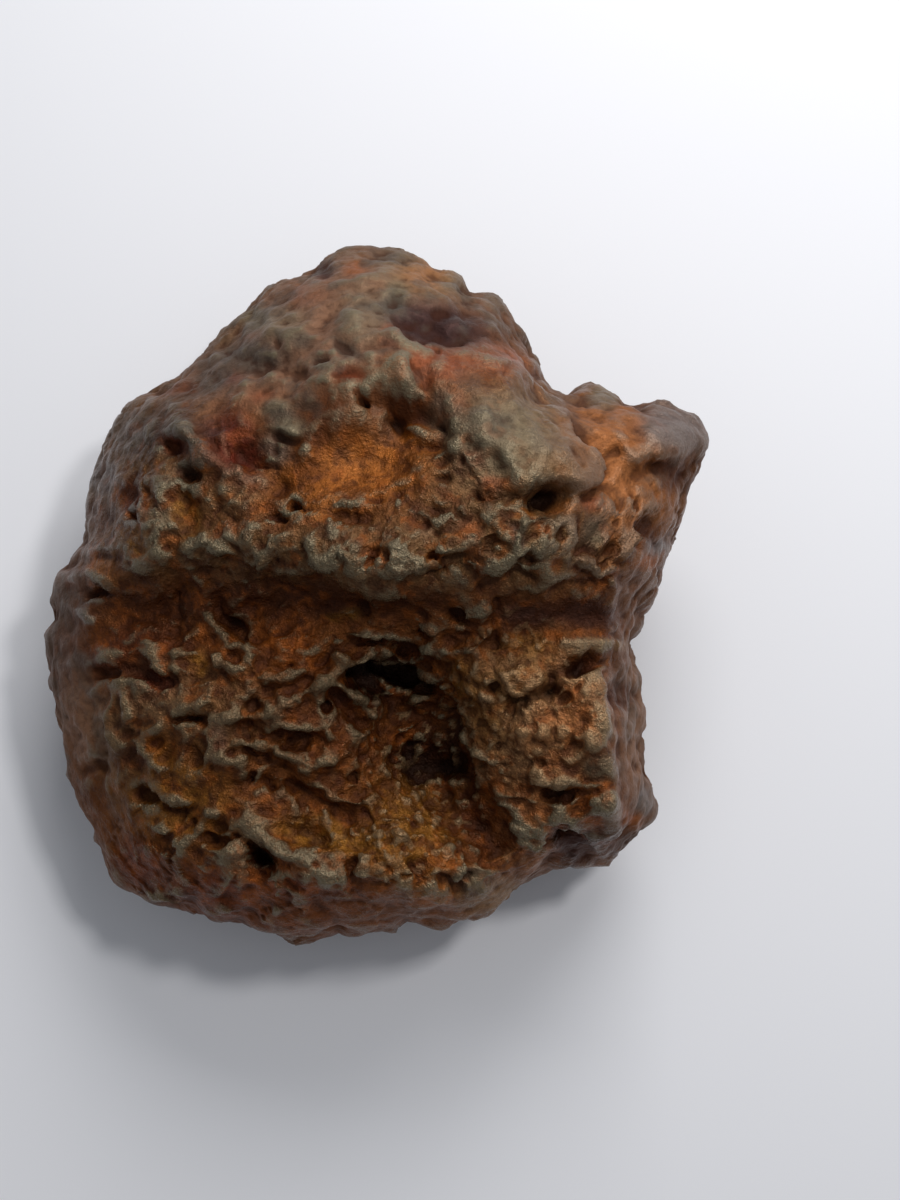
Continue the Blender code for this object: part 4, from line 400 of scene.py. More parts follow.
# Knobs of the upper side, and pits as knobs of negative height: the place in plan, the half length and half
# breadth, the turn of the length in degrees, the height, and how steep the side is
KNOBS = [
    # more depth for the recess at the lower right and for the deep pit's upper hollow
    (23.8, -30.8, 3.2, 2.4, 20, -2, 2), (-0.6, -10.8, 3, 1.8, -8, -1.6, 3),
    # the far slope and its purple hollow
    (7, 34, 7.5, 2.6, -12, -1.6, 3), (1.5, 36.8, 1.1, 0.9, 0, -0.6, 3), (7.5, 35.6, 1.1, 0.8, 0, -0.7, 3),
    (10.9, 35.5, 0.8, 0.8, 0, -0.6, 3), (3.3, 32.6, 1.4, 0.8, 0, -0.9, 3), (5.6, 31.8, 0.9, 0.7, 0, -0.6, 3),
    (11.5, 32.9, 2, 0.8, -5, -0.6, 3), (13, 31.1, 0.9, 0.5, 15, 0.5, 3), (6.9, 29.7, 0.5, 0.7, 30, -0.8, 3),
    (15.9, 27.7, 0.5, 0.5, 0, -0.7, 3), (9, 39.8, 1.6, 1.2, -30, 0.7, 3), (14, 36.8, 1.5, 1.2, 0, 0.7, 3),
    (19.2, 29.3, 1, 1, 0, 0.6, 3), (-7.2, 40.6, 1.3, 1.1, 20, -1, 3), (-15.5, 34.6, 1.2, 1.1, 0, -0.9, 3),
    (-12.7, 31.8, 0.7, 0.6, 0, -0.7, 3), (-7.9, 29.5, 1.2, 0.6, 10, -1, 3), (-4, 35, 1.4, 1.3, 0, 0.7, 2),
    (-11, 35, 1.2, 1, 0, 0.6, 2), (-13, 33, 1.1, 1, 0, 0.6, 2), (-3.8, 27.4, 2.2, 1, -10, -0.9, 3),
    (-2.6, 24.8, 0.8, 0.7, 0, -1.8, 4), (16.5, 33.5, 1.6, 1.2, -50, 0.5, 2),
    # the orange pocket and what is round it
    (1, 20.5, 8.5, 4.8, 20, -1.6, 3), (3.8, 22.6, 4.2, 2.6, -14, -1.1, 3), (-3.5, 16.5, 6, 3, 15, -1, 3),
    (4.5, 21.3, 2.4, 1, -5, 0.8, 3), (-8, 19, 2, 1.5, 40, -0.6, 2), (2, 12.6, 0.9, 0.7, -30, -0.8, 3),
    (3.6, 13.2, 1.3, 0.6, 10, -0.6, 3), (-0.6, 12.2, 1.3, 0.4, -5, -0.8, 3),
    (-10.7, 11.2, 0.75, 0.7, 0, -1.8, 4),
    (-12.6, 9.8, 1.2, 0.6, -8, -1.4, 4), (-19.3, 10.6, 1.1, 0.6, -10, -0.8, 3),
    (-18.4, 9.6, 1.1, 0.6, 0, -0.8, 3),
    (-4, 10.9, 2, 0.8, 0, 0.6, 3), (-11.6, 20.8, 1.9, 1.1, 0, 0.9, 2), (-12, 19.5, 1.6, 0.5, -5, -0.8, 3),
    (-13, 17.8, 0.8, 0.8, 0, -0.7, 3), (-9.5, 18, 0.8, 1.2, 0, 0.6, 2),
    # left of the pocket
    (-17, 17.4, 2.6, 1.9, -20, -1.4, 3), (-14.3, 15.8, 1.8, 0.5, -8, -0.8, 3),
    (-15.8, 13.8, 1.7, 1.2, 0, 0.7, 3),
    (-18, 12.3, 2.6, 1.5, -15, 0.9, 3), (-12.7, 13.5, 1.6, 1.2, 0, -0.8, 3), (-16.3, 7.2, 1, 0.9, 0, 0.6, 2),
    (-18.6, 7.8, 1.5, 1.3, 0, 0.7, 2), (-13.2, 8.4, 1.8, 0.9, -10, -0.5, 3), (-11.8, 6, 1.7, 1.5, 0, 0.7, 3),
    (-8.2, 6.9, 0.9, 1.3, 0, 0.9, 2), (-11.5, 3.1, 1.6, 1, 0, 0.7, 3), (-25.8, 18.7, 1.7, 1, -30, -1.4, 3),
    (-28, 22, 3, 2.5, 0, 0.5, 2), (-23.6, 15.2, 1.6, 1.1, 0, -1.2, 3), (-30.5, 10, 0.8, 0.6, 0, -1.6, 4),
    (-31, 12, 1.2, 2.2, 0, -0.7, 3), (-24, 10, 1.5, 3, 10, -1, 3), (-34.8, 11, 1, 1.6, 10, -0.5, 2),
    (-34.6, 5.2, 1.4, 0.6, 0, -0.6, 3), (-35, 0.1, 1.5, 0.8, -5, -1.7, 4), (-37, 1.3, 1.4, 0.7, 0, -0.5, 2),
    (-34.4, 15.2, 1, 1, 0, -0.4, 2), (-31.5, 19.5, 1.5, 1, 0, -0.5, 2),
    # the right upper mass and its dark pit
    (20.8, 12.2, 2.8, 2, 10, -4, 4), (22.8, 12.6, 1.5, 1.1, 10, -1.6, 3), (23.5, 19.7, 0.9, 0.9, 0, -1, 3),
    (24, 17.2, 0.6, 0.5, 0, -0.5, 3),
    (14.2, 15.6, 2, 1.7, 0, -0.9, 3), (17.9, 16.2, 1, 0.8, 0, -0.5, 2), (8, 14.6, 0.8, 0.6, -30, -0.8, 3),
    (10.2, 16.8, 0.5, 0.7, 0, -0.6, 3), (11.4, 18.5, 1.3, 0.8, 0, -0.7, 3), (8.9, 19.9, 0.9, 0.5, 0, -0.7, 3),
    (8, 16.8, 1.3, 0.5, 8, -0.7, 3), (7, 10.9, 1.6, 0.6, -5, -0.7, 3), (5.5, 9.8, 0.9, 0.6, 0, -0.5, 3),
    (9.2, 18.2, 1.1, 0.8, 0, 0.5, 2), (13.9, 6.3, 0.6, 1.1, -30, -1.4, 4), (15.2, 5.7, 1, 1, 0, -0.7, 3),
    (18.4, 4.6, 1.3, 0.6, 0, -0.8, 3), (20.3, 6.4, 1.6, 1.3, 0, 0.6, 2), (22.7, 7.6, 0.5, 1.1, 10, -0.9, 3),
    (9.4, 10, 0.7, 0.5, 0, -0.5, 3), (11.5, 10, 1.4, 0.5, 5, -0.5, 3), (14.9, 9.6, 1.4, 1, 0, 0.5, 2),
    # the crest
    (6.8, 4.8, 1, 0.8, 0, -0.9, 3), (3, 6.7, 0.8, 0.4, -40, -0.6, 3), (3.2, 4.6, 1.6, 1.8, 0, 0.7, 2),
    (10.3, 6.6, 3, 1.6, 0, 0.5, 3), (-1.8, 3.8, 0.9, 0.5, 20, -1.1, 3), (-1.4, 5.4, 1.1, 0.9, 0, -0.8, 3),
    (0.5, 4.9, 0.7, 0.9, 0, -0.9, 3), (-6, 3, 0.7, 0.5, 0, -0.8, 3), (-4.5, 7.5, 3, 2.2, 10, 0.6, 3),
    (-5.5, 3.6, 1.5, 1, 0, 0.5, 2), (11.3, 2.8, 1.2, 0.8, -40, -0.8, 3), (15, 3.3, 1.6, 0.9, 20, 0.8, 2),
    (20.2, 1.4, 2, 1.3, 0, 0.7, 2),
    # the lobe behind the notch
    (33.4, 8.4, 1.6, 1.3, 0, -2, 4), (32.3, 7.2, 0.5, 1.1, 0, -0.9, 3), (35.7, 10, 0.9, 0.5, -20, -0.7, 3),
    (28.3, 6.8, 1, 0.9, 0, 1, 3), (29.8, 6.1, 0.5, 0.5, 0, -0.5, 3), (35.2, 6, 1.2, 0.9, 30, 0.7, 3),
    (26, 3.7, 0.9, 0.8, 0, 0.8, 2), (22.6, 3.4, 0.7, 1, 0, -0.6, 3), (30.6, 2, 0.8, 0.7, 0, -0.7, 3),
    (33, 1.6, 1.2, 0.7, 0, -0.7, 3), (30.5, 12, 3, 2, 0, 0.4, 2), (34.2, 13.3, 0.8, 0.5, -30, -0.5, 2),
    (29.4, 18, 1.5, 0.6, -15, -0.5, 2), (32, 20.6, 1, 0.8, 0, -0.4, 2), (38.2, 14.5, 0.9, 1, 0, -0.6, 3),
    # the left and the middle of the basin
    (-28.6, -2.2, 2.2, 1.4, 0, -0.7, 3), (-31, -3.4, 1.2, 0.6, 0, -0.7, 3),
    (-33, -4.8, 0.9, 0.6, -20, 0.6, 2),
    (-5, -2.6, 1.7, 0.9, 0, 0.9, 3), (-2.2, -1.6, 1.1, 1.3, 30, -1.6, 3),
    (-22.6, -20.5, 1.1, 0.9, 0, -0.9, 3),
    (-28.3, -18.8, 1.1, 1, 0, -0.7, 3), (-31, -20.6, 2, 1.3, -10, -0.8, 3),
    (-36, -21.8, 1.8, 0.9, 10, -0.8, 3),
    (-26.5, -11.8, 1, 0.7, 0, 0.7, 3), (-20.4, -8.2, 0.9, 0.8, 0, 0.6, 3),
    (-20.5, -11.9, 0.8, 0.7, 0, 0.6, 2),
    (-18.2, -15, 0.9, 0.7, 0, 0.8, 3), (-7.4, -8.1, 1.5, 1.2, 30, -1.8, 3),
    (-7, -13.8, 1.3, 0.7, -10, -1.3, 3),
    (-2.2, -13.4, 1.1, 1.4, 20, 0.8, 3), (-15.8, -13.2, 0.9, 0.7, 0, -0.8, 3),
    # the deep pit, with a knob on its floor
    (4.2, -16, 8.8, 4.6, -64, -2.5, 3), (0.6, -10.6, 3.4, 1.4, -6, -2.2, 3),
    (4.2, -11.4, 2, 1.2, -20, -1.6, 3),
    (5, -20.6, 3, 1.5, -25, -1.3, 3), (8.4, -21.6, 2, 1.2, -35, -1.3, 3), (8.2, -16.6, 1.2, 2.6, 15, -1.2, 2),
    (3.5, -17, 1.3, 1.1, 0, 1.9, 3), (-0.6, -15.2, 1.6, 1.2, -30, 1.3, 2), (1.2, -13.4, 1.2, 0.9, 15, 1, 3),
    (1.4, -19.2, 1.4, 1, 20, 1.1, 2), (4.8, -14.2, 1.1, 0.9, 0, 1, 3), (6.6, -18.4, 0.9, 0.8, 0, 0.8, 3),
    (-2.8, -12.6, 1.2, 0.9, 30, 0.8, 2),
    # the front of the basin
    (-15.4, -33.2, 1.4, 2, 10, -4, 4), (-16, -37, 1.2, 1.6, 0, -0.6, 2), (-8.5, -30, 5.5, 1.9, -10, -1.1, 3),
    (-16.2, -28.8, 2.4, 1.7, 10, 0.9, 3), (-3.4, -22.6, 1, 0.8, 0, -1.2, 3),
    (-16.7, -23, 0.8, 0.6, 0, -1.3, 4),
    (-20.7, -27.2, 1.1, 0.8, 0, 0.9, 2), (-20, -28.9, 1.1, 0.7, 0, -0.6, 3),
    (-2.2, -33.6, 1.4, 1.9, 15, 1, 3),
    (-29.7, -25.1, 1.5, 1, -10, -1.8, 4), (-30.3, -27, 0.6, 0.5, 0, -0.6, 3), (-27.7, -29, 1, 0.8, 0, 0.9, 3),
    (-25, -30.8, 1.4, 0.9, -15, 0.8, 3), (-24, -28.7, 0.9, 0.6, 0, -1, 3),
    (-33.6, -29.3, 1.2, 0.5, 0, -0.5, 3),
    (1.4, -28.1, 1.2, 0.6, 0, 0.7, 4), (3.6, -32.2, 1.1, 0.8, 0, 0.7, 3), (10, -34.2, 0.7, 0.6, 0, 0.8, 3),
    (11.2, -35.5, 0.7, 0.6, 0, -1, 3), (10.8, -37, 0.6, 1, 0, 0.7, 3), (13, -37, 1.1, 1.2, 0, 0.8, 3),
    (15.1, -37, 0.7, 0.5, 0, -0.8, 3), (3.4, -34.9, 0.6, 1, 0, -0.9, 3), (-11.5, -41.3, 4, 1.8, 0, 1, 3),
    (-2, -41.2, 3.5, 1.8, 0, 1, 3), (7.5, -40.6, 4, 1.2, 0, 0.6, 3),
    # the right of the basin, its crumbs and its flat-faced block
    (17.6, -10.6, 3.2, 2.1, -8, 1.1, 4), (17.5, -18, 1.5, 1.6, 10, 0.9, 4),
    (16.6, -14.4, 0.8, 1.3, -15, -1.2, 3),
    (18.3, -14.6, 0.8, 0.9, 0, 0.7, 3), (20, -17, 1.4, 1.2, 0, 0.7, 3), (19.5, -20.8, 0.5, 0.5, 0, -0.9, 3),
    (12.6, -21.2, 0.9, 0.6, 0, -0.8, 3), (12.3, -16, 0.7, 0.4, 0, -0.8, 3),
    (14.5, -19.3, 0.5, 0.7, -10, -1, 3),
    (25.3, -8.7, 2.4, 1, 12, -2.6, 4), (28.1, -10, 0.8, 0.6, 0, -1.3, 3), (29.2, -4.9, 0.8, 0.6, 0, -0.9, 3),
    (24.3, -19.1, 0.7, 0.5, 50, -1, 3), (26, -18.5, 1.3, 1.1, 0, 0.7, 3), (22.7, -13, 0.8, 0.5, 0, -0.8, 3),
    (24.8, -11, 0.5, 0.9, -20, -0.8, 3), (25.7, -2.3, 3, 1.4, 0, -0.8, 3), (5.2, -4.7, 1.3, 0.6, 0, -1.2, 3),
    (5, -2.2, 0.8, 0.5, 0, -0.9, 3), (10, -2.9, 1, 0.7, -30, -1.2, 3),
    # the right rim and the recesses beside it
    (30, -12.6, 1.7, 2, 0, -2, 4), (30, -16.3, 1, 0.7, -20, -1, 3), (22.3, -25.6, 1.3, 0.8, -10, -2, 4),
    (27.9, -28.6, 1.2, 1.1, 0, -0.8, 3), (25.8, -26.3, 0.9, 0.7, 0, -0.5, 3), (27, -23, 1.2, 0.5, 0, -0.6, 3),
    (24.9, -31.3, 2, 1.9, 20, -2.5, 4),
]

# Thumbprint dents below the edge: the direction from the middle of the lump in degrees round and degrees up,
# the radius and the depth
DENTS = [
    (-80, -8, 7, 1.6), (-52, -14, 6, 1.4), (-25, -6, 7, 1.8), (5, -12, 6, 1.4), (32, -4, 7, 1.7),
    (60, -10, 8, 2.0),
    (92, -6, 8, 1.8), (122, -12, 7, 1.6), (150, -4, 7, 1.8), (178, -12, 8, 1.8), (205, -6, 6, 1.5),
    (232, -14, 7, 1.7),
    (255, -8, 6, 1.4), (-65, -36, 8, 2.0), (-10, -34, 9, 2.2), (40, -36, 9, 2.0), (95, -34, 10, 2.4),
    (150, -36, 9, 2.2),
    (205, -35, 9, 2.0), (250, -38, 8, 1.8),
]

# Lumpiness below the edge: the size and the height of the lumps
SIDE_LUMPS = [(9.0, 2.2), (4.2, 0.7), (2.0, 0.2)]

# Fine relief of the upper side by region: its kind, the middle in plan, the half length, half breadth and
# turn of the oval that it fills, and its strength
TEXTURES = [
    # soft rounded lumps
    ("soft", -4, 34, 30, 14, 15, 1.0),
    ("soft", 30, 18, 12, 9, 0, 0.8),
    ("soft", 17, 20, 9, 5.5, -30, 0.7),
    ("soft", -40, -10, 6, 28, 12, 0.8),
    ("soft", 33, -18, 4, 16, 0, 0.8),
    # crisp lumps with creases between them
    ("lumps", 2, 6, 40, 6, 0, 1.0),
    ("lumps", 18, 8, 12, 5, 0, 0.6),
    ("lumps", -24, 14, 14, 12, 40, 0.8),
    ("lumps", 32, 6, 7, 9, 0, 0.9),
    ("lumps", -14, -37, 26, 7, -8, 1.0),
    ("lumps", 22, -30, 9, 6, 20, 0.8),
    # folds that wind and branch
    ("folds", -18, -12, 20, 17, 0, 1.0),
    ("folds", 6, -8, 14, 8, 0, 0.9),
    ("folds", -14, -30, 18, 7, -12, 0.8),
    ("folds", -26, 10, 8, 12, 10, 0.5),
    ("folds", 20, -28, 8, 7, 0, 0.7),
    # crumbs
    ("crumbs", 4, -27, 9, 10, 0, 1.25),
    ("crumbs", 18, -17, 9, 9, 0, 0.9),
    ("crumbs", 4, -15.5, 8, 10, 25, 1.3),
    ("crumbs", 15, -5, 7, 3.4, 0, 0.8),
    ("crumbs", 17, 7, 5, 4, 0, 0.5),
    ("crumbs", -6, -30, 6, 3, -10, 0.6),
    ("crumbs", 13, -36, 7, 4, 0, 0.8),
    ("crumbs", 2, 19, 5, 3, 0, 0.25),
    # small dark pores
    ("pores", 10, 10, 16, 8, 0, 0.9),
    ("pores", 0, 4, 38, 5, 0, 0.8),
    ("pores", 28, 6, 7, 6, 0, 0.8),
    ("pores", -10, -20, 28, 18, 0, 0.7),
    ("pores", 18, -16, 12, 14, 0, 0.9),
    ("pores", 0, -36, 24, 6, 0, 0.8),
]

# The colours of rust and iron as they look in full light, some of them also laid as painted shade or painted
# light: red, green and blue from 0 to 255
COLOURS = {
    "grey olive": (116, 104, 82),
    "olive brown": (106, 78, 48),
    "slate": (80, 70, 60),
    "tan": (138, 106, 72),
    # lit sand: the tan of the crumbs made paler as painted light, where they face the light
    "lit sand": (164, 124, 84),
    "pink tan": (132, 98, 76),
    "orange tan": (156, 98, 54),
    "salmon": (150, 84, 52),
    "rust orange": (146, 76, 22),
    "bright orange": (158, 92, 34),
    "ochre": (136, 88, 26),
    "amber": (124, 66, 8),
    "brown": (112, 62, 22),
    "umber": (104, 68, 44),
    # dark brown: rust, also laid as painted shade in pits, grooves and under overhangs
    "dark brown": (74, 34, 8),
    "red brown": (104, 44, 14),
    "crimson": (100, 34, 20),
    "mauve": (104, 76, 62),
    "lilac grey": (114, 104, 100),
    # purple: a dusky purple tint, also laid as painted shade in hollows, grooves and recesses
    "purple": (60, 36, 32),
    # crevice: a dark rust mottle, also used as painted shade in fine crevices
    "crevice": (60, 24, 4),
    # black brown: painted shade, near black, in the deepest pits and hollows
    "black brown": (34, 14, 2),
}

# The gloss of the stone, and how much rougher it is where the relief is soft
SPECULAR = 0.25
METALLIC = 0.5
MATT = 0.25

# The material's noise: its waves in a millimetre, its detail, roughness and distortion
NOISES = {
    "speckle": (1.1, 3, 0.5, 0.0),
    "fine": (3.2, 3, 0.6, 0.0),
    "patchy": (0.30, 3, 0.6, 0.5),
    "warm": (0.42, 4, 0.5, 0.0),
    "dusky": (0.60, 4, 0.5, 0.0),
    "dim": (0.33, 3, 0.5, 0.4),
    "blotchy": (0.20, 3, 0.5, 0.0),
}

# The material's ramps: where each starts and ends, and what it gives there
RAMPS = {
    "on top": (0.2, 0.8, 0.35, 1.0),
    "warm": (0.50, 0.66, 0.0, 0.55),
    "dusky": (0.48, 0.64, 0.0, 0.6),
    "dim": (0.50, 0.60, 0.0, 0.5),
    "mottle": (0.35, 0.65, 0.78, 1.2),
    "blotchy": (0.50, 0.62, 0.0, 0.55),
    "pale grain": (0.6, 0.8, 0.0, 1.0),
    "crest": (0.06, 0.30, 0.0, 1.0),
    "rise": (0.10, 0.55, 0.0, 1.0),
    "patchy": (0.34, 0.52, 0.45, 1.0),
    "worn fine": (0.30, 0.55, 0.55, 1.0),
    # crevice and deep: where the painted shade of fine crevices and of deep hollows starts and ends, and its
    # share
    "crevice": (-0.26, -0.03, 0.6, 0.0),
    "deep": (-2.2, -0.9, 0.85, 0.0),
    "roughness": (-0.05, 0.30, 0.50, 0.24),
    "glint": (0.54, 0.64, 0.0, 0.2),
}

# How fully pale grains cover, how far the speckle shifts the edges of broad wear, the share of that for fine
# wear and for the painted shade of crevices, how far the fine noise shifts the gloss, and the middle of a
# noise
GRAIN_COVER = 0.65
WOBBLE = 0.5
FINE_WOBBLE = 0.4
GLOSS_WOBBLE = 0.2
NOISE_MIDDLE = 0.5

# The bump of the speckle and of the fine noise, the share of it that is everywhere, and the share that places
# with crisp relief add
SPECKLE_BUMP = 0.36
FINE_BUMP = 0.24
BUMP_EVERYWHERE = 0.35
BUMP_LIVELY = 0.65

# The sockets of a mix node for colours
MIX_SHARE = 0
MIX_FIRST = 6
MIX_SECOND = 7
MIX_RESULT = 2
